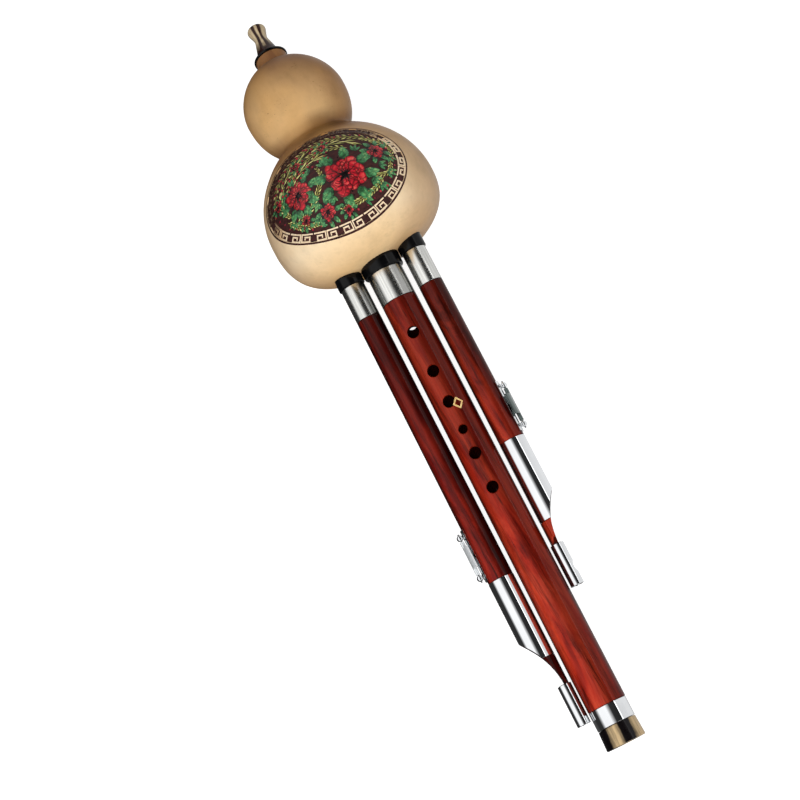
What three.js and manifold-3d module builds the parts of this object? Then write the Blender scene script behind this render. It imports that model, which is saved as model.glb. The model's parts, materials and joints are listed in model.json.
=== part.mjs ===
// Hulusi, a gourd flute with one melody pipe and two keyed drone pipes.
// Lengths are in millimetres. Inside the instrument, y runs from the foot of the main pipe to the
// mouthpiece, x to the right and z out of the face with the finger holes. At the end the whole
// instrument is laid on its back, so that the gourd and the foot cap rest on the ground plane.

import * as THREE from 'three';
import { mergeVertices } from 'three/addons/utils/BufferGeometryUtils.js';
import Module from 'manifold-3d';

const wasm = await Module();
wasm.setup();

// Clearances
const seatGap = 0.25;
const slideGap = 0.3;
const pinGap = 0.2;
const cutOverrun = 1;

// Gourd
const lowerBulbRadius = 48.6;
const lowerBulbDepth = 34;
const lowerBulbRise = 47;
const lowerBulbCentre = 318.5;
const lowerBulbPower = 2.7;
const upperBulbRadius = 29.3;
const upperBulbDrop = 32;
const upperBulbRise = 27.8;
const upperBulbPower = 2.2;
const bulbTopPower = 1.95;
const waistOverlap = 10.9;
const neckRadius = 9.2;
const neckLength = 5.5;
const gourdWall = 3;
const waistPower = 6;
const neckPower = 4;
const bendDrop = 15.5;
const bendRadius = 300;
const neckShift = -1.9;
const footLean = THREE.MathUtils.degToRad(4.5);
const restPatchDepth = 0.4;

// Mouthpiece and its collar
const collarRingRadius = 9.8;
const collarRingThickness = 1.4;
const mouthpieceLength = 24.3;
const mouthpieceRootRadius = 7.4;
const mouthpieceWaistRadius = 3.9;
const mouthpieceTipRadius = 5.4;
const mouthpieceBore = 4.4;
const mouthpieceTenonRadius = 4.6;
const mouthpieceTenonLength = 12;

// Main pipe, from the foot up
const footCapRadius = 10.95;
const footCapTopRadius = 10.4;
const footCapLength = 10.9;
const footCapLip = 2.7;
const footRingRadius = 10.5;
const footRingLength = 10.6;
const mainFootRadius = 10.5;
const mainTopRadius = 9.8;
const mainSleeveLength = 18.4;
const mainBoreRadius = 6;
const mainFootTenonRadius = 8.6;
const mainTopTenonRadius = 8.7;
const mainTwist = THREE.MathUtils.degToRad(-8);

// Finger holes, thumb hole and vents of the main pipe
const fingerHoleRadius = 3.3;
const smallHoleRadius = 2.5;
const fingerHolePlaces = [146.3, 166.4, 197.1, 215.5, 239.2];
const smallHolePlace = 180.5;
const thumbHolePlace = 247.6;
const thumbHoleTurn = THREE.MathUtils.degToRad(8);
const thumbHoleRadius = 3.3;
const ventPlaces = [98, 120];
const ventRadius = 3;

// Where the pipes enter the sockets
const mainSocketDrop = 6.1;
const socketLip = 1.5;
const sealLength = 12;
const pipeSpacing = 19.1;

// Main sleeve, socket, seal and reed
const sleeveEndWall = 1.2;
const tenonWall = 0.9;
const mainTenonRadius = 7;
const sealThickness = 1.2;
const spigotWall = 1.2;
const mainSocketRadius = 11.35;
const mainReedTubeRadius = 5.7;
const mainReedTubeWall = 1.3;
const mainReedTubeReach = 45.6;
const reedTubeHold = 15;
const mainReedLength = 20;
const mainReedWidth = 6.4;
const reedThickness = 0.5;
const reedSlit = 0.3;
const reedTubeRoof = 2;
const reedWindowWidthShare = 0.5;
const reedWindowLengthShare = 0.7;

// Drone pipes
const droneTopRadius = 6.65;
const droneFootRadius = 7;
const droneBoreRadius = 3.6;
const droneTenonWall = 0.6;
const droneTenonRadius = 4.2;
const droneSocketRadius = 7.45;
const droneSealThickness = 0.8;
const droneSpigotWall = 0.8;
const droneReedTubeRadius = 3.3;
const droneReedTubeWall = 0.8;
const droneReedTubeReach = 36;
const droneReedLength = 15;
const droneReedWidth = 3.6;
const droneTopTenonRadius = 5.5;
const toneHoleRadius = 2;

// Lower ends of the drones
const lowerSleeveRadius = 7.15;
const lowerSleeveWall = 0.7;
const droneFootTenonLength = 16;
const tongueHalfWidth = 2.6;
const tailTubeRadius = 3.7;
const tailTubeWall = 0.6;
const tailTubeOffset = 4.25;
const tailPlugLength = 12;
const tailPlugHold = 1.2;

// Drone keys
const keyLength = 29.5;
const keyFootGap = 1.8;
const saddleThickness = 0.6;
const saddleHalfAngle = THREE.MathUtils.degToRad(37);
const postInset = 3.1;
const postRadius = 1.1;
const postBallRadius = 1.75;
const hingeRise = 2.5;
const hingeTubeRadius = 1.15;
const hingeRodRadius = 0.5;
const hingeRodOverhang = 0.6;
const hingeEndGap = 0.3;
const touchLength = 12;
const touchThickness = 0.9;
const touchRise = 3.4;
const touchAngle = THREE.MathUtils.degToRad(38);
const touchRootAngle = THREE.MathUtils.degToRad(4);
const armWidth = 4;
const armThickness = 0.9;
const armRise = 3;
const padAngle = THREE.MathUtils.degToRad(75);
const padRadius = 3;
const padThickness = 1.2;
const cupWall = 0.6;
const springThickness = 0.3;
const springWidth = 2;
const springFootRise = 1.75;
const springFootAngle = THREE.MathUtils.degToRad(13);
const springTipAngle = THREE.MathUtils.degToRad(30);
const screwAngle = THREE.MathUtils.degToRad(27);
const screwHeadRadius = 0.9;
const screwHeadThickness = 0.5;
const screwShankRadius = 0.5;
const screwShankLength = 2.6;

// The two drones differ in where their lower ends lie, and a little at the top
const leftDrone = {
  name: 'left',
  side: -1,
  socketDrop: 5.7,
  topSleeveLength: 20,
  sleeveTop: 103,
  sleeveLength: 46.6,
  scoopRise: 12.1,
  tongueDrop: 16.4,
  tongueThickness: 2.7,
  tubeLength: 22.6,
};
const rightDrone = {
  name: 'right',
  side: 1,
  socketDrop: 2.9,
  topSleeveLength: 20.8,
  sleeveTop: 165.3,
  sleeveLength: 46.5,
  scoopRise: 14.4,
  tongueDrop: 13,
  tongueThickness: 4,
  tubeLength: 23.6,
};

// Segments of round pieces
const gourdSegments = 40;
const gourdRings = 25;
const cavitySegments = 24;
const cavityRings = 14;
const wideSegments = 28;
const pipeSegments = 24;
const smallSegments = 12;
const tinySegments = 8;

// Sizes and places worked out from the ones above
const reach = lowerBulbRadius * 2;
const gourdFoot = lowerBulbCentre - lowerBulbDepth;
const upperBulbCentre = lowerBulbCentre + lowerBulbRise + upperBulbDrop - waistOverlap;
const gourdTop = upperBulbCentre + upperBulbRise + neckLength;
const bendStart = lowerBulbCentre + lowerBulbRise - bendDrop;
const mainSocketFoot = gourdFoot - mainSocketDrop;
const mainWoodTop = mainSocketFoot - mainSleeveLength;
const mainSealInner = mainTenonRadius + slideGap;
const mainSealOuter = mainSealInner + sealThickness;
const mainSocketBore = mainSealOuter + slideGap;
const mainSpigotRadius = mainSocketBore + spigotWall;
const droneSealInner = droneTenonRadius + slideGap;
const droneSealOuter = droneSealInner + droneSealThickness;
const droneSocketBore = droneSealOuter + slideGap;
const droneSpigotRadius = droneSocketBore + droneSpigotWall;
const keyMiddleOffset = keyFootGap + keyLength / 2;

// Materials
function finish(color, roughness, metalness) {
  return new THREE.MeshStandardMaterial({ color, roughness, metalness });
}
const gourdSkin = finish(0xd9bd86, 0.4, 0);
const horn = finish(0xcbb794, 0.35, 0);
const darkHorn = finish(0x3a2a20, 0.35, 0);
const blackLacquer = finish(0x0a0a0a, 0.15, 0);
const redWood = finish(0x8a2416, 0.3, 0);
const brushedNickel = finish(0xb9b8b4, 0.35, 1);
const chrome = finish(0xdfe2e4, 0.08, 1);
const springSteel = finish(0x9a9da0, 0.25, 1);
const reedBrass = finish(0xc8973c, 0.3, 1);
const cork = finish(0xb98a5a, 0.9, 0);
const reedTubeWood = finish(0xb07a4a, 0.6, 0);
const padLeather = finish(0xe6dcc8, 0.8, 0);

// Solids for joining and cutting
function toSolid(geometry) {
  const bare = geometry.clone();
  bare.deleteAttribute('normal');
  bare.deleteAttribute('uv');
  const merged = mergeVertices(bare);
  return new wasm.Manifold(new wasm.Mesh({
    numProp: 3,
    vertProperties: new Float32Array(merged.attributes.position.array),
    triVerts: new Uint32Array(merged.index.array),
  }));
}

function toGeometry(solid) {
  const mesh = solid.getMesh();
  const geometry = new THREE.BufferGeometry();
  geometry.setAttribute('position', new THREE.BufferAttribute(new Float32Array(mesh.vertProperties), 3));
  geometry.setIndex(new THREE.BufferAttribute(new Uint32Array(mesh.triVerts), 1));
  geometry.computeVertexNormals();
  return geometry;
}

function cut(geometry, ...tools) {
  return toGeometry(tools.reduce((body, tool) => body.subtract(toSolid(tool)), toSolid(geometry)));
}

function join(geometry, ...others) {
  return toGeometry(others.reduce((body, other) => body.add(toSolid(other)), toSolid(geometry)));
}

function common(geometry, other) {
  return toGeometry(toSolid(geometry).intersect(toSolid(other)));
}

function mirrored(geometry) {
  const copy = geometry.index ? geometry.clone() : mergeVertices(geometry.clone());
  copy.scale(-1, 1, 1);
  const index = copy.index.array;
  for (let corner = 0; corner < index.length; corner += 3) {
    [index[corner], index[corner + 1]] = [index[corner + 1], index[corner]];
  }
  return copy;
}

// Round pieces about the y axis; points are [radius, place] pairs going up the outside
function turned(points, segments) {
  const halfSegment = Math.PI / segments;
  return new THREE.LatheGeometry(points.map(([r, y]) => new THREE.Vector2(r, y)), segments, halfSegment);
}

function rod(radius, from, to, segments) {
  return turned([[0, from], [radius, from], [radius, to], [0, to]], segments);
}

function tube(outer, inner, from, to, segments) {
  return turned([[inner, from], [outer, from], [outer, to], [inner, to], [inner, from]], segments);
}

// A rod that points away from the y axis at an angle from +x towards +z
function radialRod(radius, from, to, place, angle, segments) {
  const geometry = rod(radius, from, to, segments);
  geometry.rotateZ(-Math.PI / 2);
  geometry.rotateY(-angle);
  return geometry.translate(0, place, 0);
}

function extruded(shape, depth, curveSegments) {
  return new THREE.ExtrudeGeometry(shape, { depth, bevelEnabled: false, curveSegments });
}

// A section in x and z, drawn out along y
function drawnAlong(shape, from, to, curveSegments) {
  return extruded(shape, to - from, curveSegments).rotateX(Math.PI / 2).translate(0, to, 0);
}

// A section of a ring about the y axis, between two radii and two angles from +x towards +z
function ringSection(inner, outer, fromAngle, toAngle) {
  const shape = new THREE.Shape();
  shape.absarc(0, 0, outer, fromAngle, toAngle, false);
  shape.absarc(0, 0, inner, toAngle, fromAngle, true);
  shape.closePath();
  return shape;
}

function piece(group, name, geometry, material) {
  const mesh = new THREE.Mesh(geometry, material);
  mesh.name = name;
  group.add(mesh);
}

// Gourd: the two bulbs as ovals of their own, blended into each other at the waist
function oval(distance, span, radius, power) {
  const share = Math.min(1, Math.abs(distance) / span);
  return radius * (1 - share ** power) ** (1 / power);
}

function gourdRadius(y, inset) {
  const below = y < lowerBulbCentre;
  const lower = oval(
    y - lowerBulbCentre,
    (below ? lowerBulbDepth : lowerBulbRise) - inset,
    lowerBulbRadius - inset,
    below ? lowerBulbPower : bulbTopPower,
  );
  const waistSide = y < upperBulbCentre;
  const upper = oval(
    y - upperBulbCentre,
    (waistSide ? upperBulbDrop : upperBulbRise) - inset,
    upperBulbRadius - inset,
    waistSide ? upperBulbPower : bulbTopPower,
  );
  const bulbs = (lower ** waistPower + upper ** waistPower) ** (1 / waistPower);
  const neck = waistSide ? 0 : neckRadius - inset;
  return (bulbs ** neckPower + neck ** neckPower) ** (1 / neckPower);
}

function spinePoint(y) {
  const beyond = Math.max(0, y - bendStart);
  const share = beyond / (gourdTop - bendStart);
  return new THREE.Vector3(neckShift * share * (2 - share), y, -(beyond ** 2) / (2 * bendRadius));
}

function spineTilt(y) {
  return Math.atan(Math.max(0, y - bendStart) / bendRadius);
}

// The gourd's foot leans: its right side sits higher, less and less up to the widest place
function footSlope(y) {
  return Math.tan(footLean) * Math.max(0, (lowerBulbCentre - y) / lowerBulbDepth);
}

// A closed skin of rings about the gourd's spine, from its foot up to a flat top
function gourdSkinGeometry(foot, top, inset, rings, segments) {
  const points = [];
  const faces = [];
  for (let ring = 0; ring <= rings; ring++) {
    const share = ring / rings;
    const y = foot + (top - foot) * (share - Math.sin(share * Math.PI * 2) / (Math.PI * 3));
    const radius = ring === 0 ? 0 : gourdRadius(y, inset);
    const centre = spinePoint(y);
    const tilt = spineTilt(y);
    for (let step = 0; step < segments; step++) {
      const angle = ((step + 0.5) / segments) * Math.PI * 2;
      const out = new THREE.Vector3(Math.sin(angle), 0, Math.cos(angle));
      out.applyAxisAngle(new THREE.Vector3(1, 0, 0), -tilt).multiplyScalar(radius).add(centre);
      points.push(out.x, out.y + out.x * footSlope(y), out.z);
    }
  }
  for (let ring = 0; ring < rings; ring++) {
    for (let step = 0; step < segments; step++) {
      const next = (step + 1) % segments;
      const [a, b] = [ring * segments + step, ring * segments + next];
      const [c, d] = [a + segments, b + segments];
      if (ring > 0) faces.push(a, b, d);
      faces.push(a, d, c);
    }
  }
  const last = rings * segments;
  const lid = points.length / 3;
  points.push(...spinePoint(top));
  for (let step = 0; step < segments; step++) {
    faces.push(last + step, last + ((step + 1) % segments), lid);
  }
  const geometry = new THREE.BufferGeometry();
  geometry.setAttribute('position', new THREE.Float32BufferAttribute(points, 3));
  geometry.setIndex(faces);
  return mergeVertices(geometry);
}

function gourdOuter(inset) {
  return gourdSkinGeometry(gourdFoot + inset, gourdTop, inset, gourdRings, gourdSegments);
}

// The neck's own frame: origin on the spine at the gourd's flat top, y along the neck
function toNeck(geometry) {
  const { x, y, z } = spinePoint(gourdTop);
  return geometry.rotateX(-spineTilt(gourdTop)).translate(x, y, z);
}

// The ground plane touches the foot cap's lowest edge and a small flat on the gourd's back
const footRestRadius = footCapRadius * Math.cos(Math.PI / wideSegments);
const restReach = Math.hypot(lowerBulbCentre, footRestRadius);
const restRadius = lowerBulbRadius - restPatchDepth;
const restTilt = Math.asin(restRadius / restReach) - Math.atan(footRestRadius / lowerBulbCentre);

function groundBlock() {
  const block = new THREE.BoxGeometry(reach, reach, lowerBulbRadius);
  block.translate(0, 0, -restRadius - lowerBulbRadius / 2);
  return block.rotateX(-restTilt).translate(0, lowerBulbCentre, 0);
}

function gourdShell() {
  const cavityTop = gourdTop - mouthpieceTenonLength;
  const cavityFoot = gourdFoot + gourdWall;
  const cavity = gourdSkinGeometry(cavityFoot, cavityTop, gourdWall, cavityRings, cavitySegments);
  const boreFoot = -mouthpieceTenonLength - gourdWall * 2;
  const neckBore = toNeck(rod(mouthpieceTenonRadius + seatGap, boreFoot, cutOverrun, smallSegments));
  const mainHole = rod(mainSpigotRadius + seatGap, mainSocketFoot, lowerBulbCentre, wideSegments);
  const droneHoles = [leftDrone, rightDrone].map((drone) => {
    const hole = rod(droneSpigotRadius + seatGap, droneSocketFoot(drone), lowerBulbCentre, pipeSegments);
    return hole.translate(drone.side * pipeSpacing, 0, 0);
  });
  return cut(gourdOuter(0), cavity, neckBore, mainHole, ...droneHoles, groundBlock());
}

function mouthpiece() {
  const root = collarRingThickness + seatGap * 2;
  const flareShares = [[0.82, 0.24], [0.65, 0.45]];
  const waistShare = 0.62;
  const headShares = [[0.86, 0.78], [1, 0.92], [0.8, 1]];
  const at = (radius, share) => new THREE.Vector2(radius, mouthpieceLength * share);
  const profile = new THREE.SplineCurve([
    new THREE.Vector2(mouthpieceRootRadius, root),
    ...flareShares.map(([radiusShare, share]) => at(mouthpieceRootRadius * radiusShare, share)),
    at(mouthpieceWaistRadius, waistShare),
    ...headShares.map(([radiusShare, share]) => at(mouthpieceTipRadius * radiusShare, share)),
  ]).getPoints(smallSegments).map((point) => [point.x, point.y]);
  const bore = mouthpieceBore / 2;
  return toNeck(turned([
    [bore, -mouthpieceTenonLength],
    [mouthpieceTenonRadius, -mouthpieceTenonLength],
    [mouthpieceTenonRadius, root],
    ...profile,
    [bore, mouthpieceLength],
    [bore, -mouthpieceTenonLength],
  ], pipeSegments));
}

function collarRing() {
  const inner = mouthpieceTenonRadius + seatGap;
  return toNeck(tube(collarRingRadius, inner, seatGap, seatGap + collarRingThickness, wideSegments));
}

function droneSocketFoot(drone) {
  return gourdFoot - drone.socketDrop;
}

function droneWoodTop(drone) {
  return droneSocketFoot(drone) - drone.topSleeveLength;
}

// Along a socket, from its foot: the shoulder of the pipe's sleeve, a lip, then the seal
function shoulder(socketFoot) {
  return socketFoot - seatGap;
}

function sealFoot(socketFoot) {
  return socketFoot + socketLip + seatGap;
}

function sealTop(socketFoot) {
  return sealFoot(socketFoot) + sealLength;
}

// A socket: a collar that hugs the gourd's skin, with a spigot that passes through its wall
function socket(foot, radius, spigot, bore, mouth, place, segments) {
  const top = sealTop(foot);
  const block = (size, from, to) => rod(size, from, to, segments).translate(place, 0, 0);
  const collar = cut(block(radius, foot, lowerBulbCentre), gourdOuter(-seatGap));
  const stem = block(spigot, foot, top);
  const seatBore = block(bore, foot + socketLip, top + cutOverrun);
  const mouthBore = block(mouth, foot - cutOverrun, top);
  return cut(join(collar, stem), seatBore, mouthBore);
}

function mainSocket() {
  const [radius, spigot, bore, mouth] = [mainSocketRadius, mainSpigotRadius, mainSocketBore, mainSealInner];
  return socket(mainSocketFoot, radius, spigot, bore, mouth, 0, wideSegments);
}

function droneSocket(drone) {
  const [foot, place] = [droneSocketFoot(drone), drone.side * pipeSpacing];
  const [radius, spigot] = [droneSocketRadius, droneSpigotRadius];
  const [bore, mouth] = [droneSocketBore, droneSealInner];
  return socket(foot, radius, spigot, bore, mouth, place, pipeSegments);
}

function gourdPieces(group) {
  piece(group, 'gourd_shell', gourdShell(), gourdSkin);
  piece(group, 'mouthpiece', mouthpiece(), horn);
  piece(group, 'mouthpiece_collar', collarRing(), blackLacquer);
  piece(group, 'main_socket', mainSocket(), blackLacquer);
  piece(group, 'left_drone_socket', droneSocket(leftDrone), blackLacquer);
  piece(group, 'right_drone_socket', droneSocket(rightDrone), blackLacquer);
}

// A top sleeve: a metal cap over the wood, with a slim tenon that enters the socket
function topSleeve(radius, inner, tenon, tenonInner, from, socketFoot, segments) {
  const top = shoulder(socketFoot);
  const end = sealTop(socketFoot);
  return turned([
    [inner, from],
    [radius, from],
    [radius, top],
    [tenon, top],
    [tenon, end],
    [tenonInner, end],
    [tenonInner, top - sleeveEndWall],
    [inner, top - sleeveEndWall],
    [inner, from],
  ], segments);
}

// A reed tube, closed at the top, with a flat on its face for the reed plate and a window under it
function reedTube(radius, wall, foot, top, reedLength, reedWidth, segments) {
  const body = turned([
    [radius - wall, foot],
    [radius, foot],
    [radius, top],
    [0, top],
    [0, top - reedTubeRoof],
    [radius - wall, top - reedTubeRoof],
    [radius - wall, foot],
  ], segments);
  const flat = reedFlat(radius, reedWidth);
  const reedMiddle = top - reedTubeRoof - reedLength / 2;
  const facing = new THREE.BoxGeometry(radius * 2, reedLength + seatGap * 2, radius);
  facing.translate(0, reedMiddle, flat + radius / 2);
  const windowWidth = reedWidth * reedWindowWidthShare;
  const window = new THREE.BoxGeometry(windowWidth, reedLength * reedWindowLengthShare, radius);
  window.translate(0, reedMiddle, radius / 2);
  return cut(body, facing, window);
}

function reedFlat(radius, reedWidth) {
  return Math.sqrt(radius ** 2 - (reedWidth / 2 + seatGap) ** 2);
}

// A reed plate with a pointed tongue cut free on two sides
function reedPlate(radius, top, length, width) {
  const [halfWidth, halfLength] = [width / 2, length / 2];
  const plate = new THREE.Shape([
    new THREE.Vector2(-halfWidth, -halfLength),
    new THREE.Vector2(halfWidth, -halfLength),
    new THREE.Vector2(halfWidth, halfLength),
    new THREE.Vector2(-halfWidth, halfLength),
  ]);
  const [rootShare, tipShare, rootWidthShare] = [0.62, 0.68, 0.36];
  const [root, tip] = [-halfLength * rootShare, halfLength * tipShare];
  const rootHalfWidth = halfWidth * rootWidthShare;
  plate.holes.push(new THREE.Path([
    new THREE.Vector2(-rootHalfWidth - reedSlit, root),
    new THREE.Vector2(-rootHalfWidth, root),
    new THREE.Vector2(0, tip - reedSlit * 2),
    new THREE.Vector2(rootHalfWidth, root),
    new THREE.Vector2(rootHalfWidth + reedSlit, root),
    new THREE.Vector2(0, tip),
  ]));
  const geometry = new THREE.ExtrudeGeometry(plate, { depth: reedThickness, bevelEnabled: false });
  return geometry.translate(0, top - reedTubeRoof - halfLength, reedFlat(radius, width) + seatGap);
}

function mainPipe() {
  const footTenonTop = footCapLength + footRingLength;
  const topTenonEnd = shoulder(mainSocketFoot) - sleeveEndWall - seatGap;
  const wood = turned([
    [mainBoreRadius, footCapLip + seatGap],
    [mainFootTenonRadius, footCapLip + seatGap],
    [mainFootTenonRadius, footTenonTop],
    [mainFootRadius, footTenonTop],
    [mainTopRadius, mainWoodTop],
    [mainTopTenonRadius, mainWoodTop],
    [mainTopTenonRadius, topTenonEnd],
    [mainBoreRadius, topTenonEnd],
    [mainBoreRadius, footCapLip + seatGap],
  ], wideSegments);
  const [front, back] = [Math.PI / 2, -Math.PI / 2];
  const hole = (radius, place, angle) => radialRod(radius, 0, reach, place, angle, smallSegments);
  return cut(
    wood,
    ...fingerHolePlaces.map((place) => hole(fingerHoleRadius, place, front)),
    hole(smallHoleRadius, smallHolePlace, front),
    hole(thumbHoleRadius, thumbHolePlace, back - thumbHoleTurn),
    ...ventPlaces.map((place) => hole(ventRadius, place, back)),
  );
}

function footCap() {
  const inner = mainFootTenonRadius + seatGap;
  return turned([
    [mainBoreRadius, 0],
    [footCapRadius, 0],
    [footCapTopRadius, footCapLength - seatGap],
    [inner, footCapLength - seatGap],
    [inner, footCapLip],
    [mainBoreRadius, footCapLip],
    [mainBoreRadius, 0],
  ], wideSegments);
}

function footRing() {
  const ringTop = footCapLength + footRingLength - seatGap;
  return tube(footRingRadius, mainFootTenonRadius + seatGap, footCapLength, ringTop, wideSegments);
}

function mainSleeve() {
  const inner = mainTopTenonRadius + seatGap;
  const tenonInner = mainTenonRadius - tenonWall;
  const foot = mainWoodTop + seatGap;
  return topSleeve(mainTopRadius, inner, mainTenonRadius, tenonInner, foot, mainSocketFoot, wideSegments);
}

function mainSeal() {
  const [foot, top] = [sealFoot(mainSocketFoot), sealTop(mainSocketFoot)];
  return tube(mainSealOuter, mainSealInner, foot, top, wideSegments);
}

function mainReedTube() {
  const [radius, wall] = [mainReedTubeRadius, mainReedTubeWall];
  const foot = shoulder(mainSocketFoot) - reedTubeHold;
  const top = mainSocketFoot + mainReedTubeReach;
  return reedTube(radius, wall, foot, top, mainReedLength, mainReedWidth, pipeSegments);
}

function mainReed() {
  const top = mainSocketFoot + mainReedTubeReach;
  return reedPlate(mainReedTubeRadius, top, mainReedLength, mainReedWidth);
}

function mainPipePieces(group) {
  piece(group, 'main_pipe', mainPipe(), redWood);
  piece(group, 'main_foot_cap', footCap(), darkHorn);
  piece(group, 'main_foot_ring', footRing(), chrome);
  piece(group, 'main_sleeve', mainSleeve(), brushedNickel);
  piece(group, 'main_seal', mainSeal(), cork);
  piece(group, 'main_reed_tube', mainReedTube(), reedTubeWood);
  piece(group, 'main_reed', mainReed(), reedBrass);
}

// The wood of a drone tapers evenly between its two sleeves
function droneRadius(y, drone) {
  const woodTop = droneWoodTop(drone);
  const share = (woodTop - y) / (woodTop - drone.sleeveTop);
  return droneTopRadius + (droneFootRadius - droneTopRadius) * share;
}

function keyMiddle(drone) {
  return drone.sleeveTop + keyMiddleOffset;
}

function padFlat(drone) {
  return Math.sqrt(droneRadius(keyMiddle(drone), drone) ** 2 - padRadius ** 2);
}

const droneFootTenonRadius = lowerSleeveRadius - lowerSleeveWall - seatGap;

function dronePipe(drone) {
  const foot = drone.sleeveTop - droneFootTenonLength;
  const woodTop = droneWoodTop(drone);
  const top = shoulder(droneSocketFoot(drone)) - sleeveEndWall - seatGap;
  const wood = turned([
    [droneBoreRadius, foot],
    [droneFootTenonRadius, foot],
    [droneFootTenonRadius, drone.sleeveTop],
    [droneFootRadius, drone.sleeveTop],
    [droneTopRadius, woodTop],
    [droneTopTenonRadius, woodTop],
    [droneTopTenonRadius, top],
    [droneBoreRadius, top],
    [droneBoreRadius, foot],
  ], pipeSegments);
  const middle = keyMiddle(drone);
  const toneHole = radialRod(toneHoleRadius, 0, reach, middle, -padAngle, tinySegments);
  const spotRadius = padRadius + seatGap * 2;
  const spotFace = radialRod(spotRadius, padFlat(drone), reach, middle, -padAngle, smallSegments);
  return cut(wood, toneHole, spotFace, ...screwHoles(drone, saddleInner() - screwShankLength - seatGap));
}

function droneTopSleeve(drone) {
  const inner = droneTopTenonRadius + seatGap;
  const tenonInner = droneTenonRadius - droneTenonWall;
  const [foot, top] = [droneWoodTop(drone) + seatGap, droneSocketFoot(drone)];
  return topSleeve(droneTopRadius, inner, droneTenonRadius, tenonInner, foot, top, pipeSegments);
}

function droneSeal(drone) {
  const socketFoot = droneSocketFoot(drone);
  return tube(droneSealOuter, droneSealInner, sealFoot(socketFoot), sealTop(socketFoot), pipeSegments);
}

function droneReedTube(drone) {
  const [radius, wall] = [droneReedTubeRadius, droneReedTubeWall];
  const foot = shoulder(droneSocketFoot(drone)) - reedTubeHold;
  const top = droneSocketFoot(drone) + droneReedTubeReach;
  return reedTube(radius, wall, foot, top, droneReedLength, droneReedWidth, smallSegments);
}

function droneReed(drone) {
  const top = droneSocketFoot(drone) + droneReedTubeReach;
  return reedPlate(droneReedTubeRadius, top, droneReedLength, droneReedWidth);
}

// Places along a drone's lower end, each from the one above it, and how far out its tongue reaches
function lowerEnd(drone) {
  const sleeveFoot = drone.sleeveTop - drone.sleeveLength;
  const scoopTop = sleeveFoot + drone.scoopRise;
  const tongueFoot = sleeveFoot - drone.tongueDrop;
  const tubeFoot = tongueFoot - drone.tubeLength;
  const tongueFace = drone.tongueThickness - lowerSleeveRadius;
  return { sleeveFoot, scoopTop, tongueFoot, tubeFoot, tongueFace };
}

function lowerSleeve(drone) {
  const inner = lowerSleeveRadius - lowerSleeveWall;
  const { sleeveFoot } = lowerEnd(drone);
  const body = tube(lowerSleeveRadius, inner, sleeveFoot, drone.sleeveTop - seatGap, pipeSegments);
  return cut(body, scoop(drone));
}

// The slanting, hollow cut across the outer side of a drone's end
function scoop(drone) {
  const { scoopTop, tongueFoot, tubeFoot, tongueFace } = lowerEnd(drone);
  const across = lowerSleeveRadius - tongueFace;
  const height = scoopTop - tongueFoot;
  const edgeShares = [[0.465, 0.228], [0.967, 0.526]];
  const [shoulderPoint, throatPoint] = edgeShares.map(([acrossShare, heightShare]) => {
    return [lowerSleeveRadius - across * acrossShare, scoopTop - height * heightShare];
  });
  const shape = new THREE.Shape();
  shape.moveTo(tongueFace, tubeFoot);
  shape.lineTo(reach, tubeFoot);
  shape.lineTo(reach, scoopTop);
  shape.lineTo(lowerSleeveRadius, scoopTop);
  shape.bezierCurveTo(...shoulderPoint, ...throatPoint, tongueFace, tongueFoot);
  shape.closePath();
  return extruded(shape, reach, smallSegments).translate(0, 0, -reach / 2);
}

// Seen from the side, the tail narrows to the width of its tongue
function tailOutline(drone) {
  const { sleeveFoot, tongueFoot, tubeFoot } = lowerEnd(drone);
  const top = drone.sleeveTop;
  const shape = new THREE.Shape();
  shape.moveTo(tubeFoot, -tongueHalfWidth);
  shape.lineTo(tongueFoot, -tongueHalfWidth);
  shape.quadraticCurveTo(sleeveFoot, -tongueHalfWidth, sleeveFoot, -reach);
  shape.lineTo(top, -reach);
  shape.lineTo(top, reach);
  shape.lineTo(sleeveFoot, reach);
  shape.quadraticCurveTo(sleeveFoot, tongueHalfWidth, tongueFoot, tongueHalfWidth);
  shape.lineTo(tubeFoot, tongueHalfWidth);
  shape.closePath();
  const geometry = extruded(shape, reach, tinySegments).translate(0, 0, -reach / 2);
  return geometry.rotateY(Math.PI / 2).rotateX(Math.PI / 2).rotateY(Math.PI);
}

function tail(drone) {
  const { sleeveFoot, tongueFoot, tongueFace } = lowerEnd(drone);
  const top = drone.sleeveTop - droneFootTenonLength - seatGap;
  const step = sleeveFoot - seatGap;
  const plugRadius = tailTubeRadius - tailTubeWall - seatGap;
  const foot = tongueFoot + seatGap;
  const body = turned([
    [0, foot],
    [lowerSleeveRadius, foot],
    [lowerSleeveRadius, step],
    [droneFootTenonRadius, step],
    [droneFootTenonRadius, top],
    [0, top],
  ], pipeSegments);
  const bore = rod(droneBoreRadius, sleeveFoot, top + cutOverrun, pipeSegments);
  const carved = common(cut(body, bore, scoop(drone)), tailOutline(drone));
  const plug = rod(plugRadius, tongueFoot - tailPlugLength, foot + tailPlugHold, smallSegments)
    .translate(-tailTubeOffset, 0, 0);
  const clearing = new THREE.BoxGeometry(reach, reach, reach)
    .translate(tongueFace + reach / 2, foot + reach / 2, 0);
  return join(carved, cut(plug, clearing));
}

function tailTube(drone) {
  const { tongueFoot, tubeFoot } = lowerEnd(drone);
  const inner = tailTubeRadius - tailTubeWall;
  const body = tube(tailTubeRadius, inner, tubeFoot, tongueFoot, smallSegments);
  return body.translate(-tailTubeOffset, 0, 0);
}

// Key: every round face is about the drone's own axis, with the hinge on its outer side
function saddleInner() {
  return droneFootRadius + seatGap;
}

function postPlaces(drone) {
  const foot = drone.sleeveTop + keyFootGap;
  return [foot + postInset, foot + keyLength - postInset];
}

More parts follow.
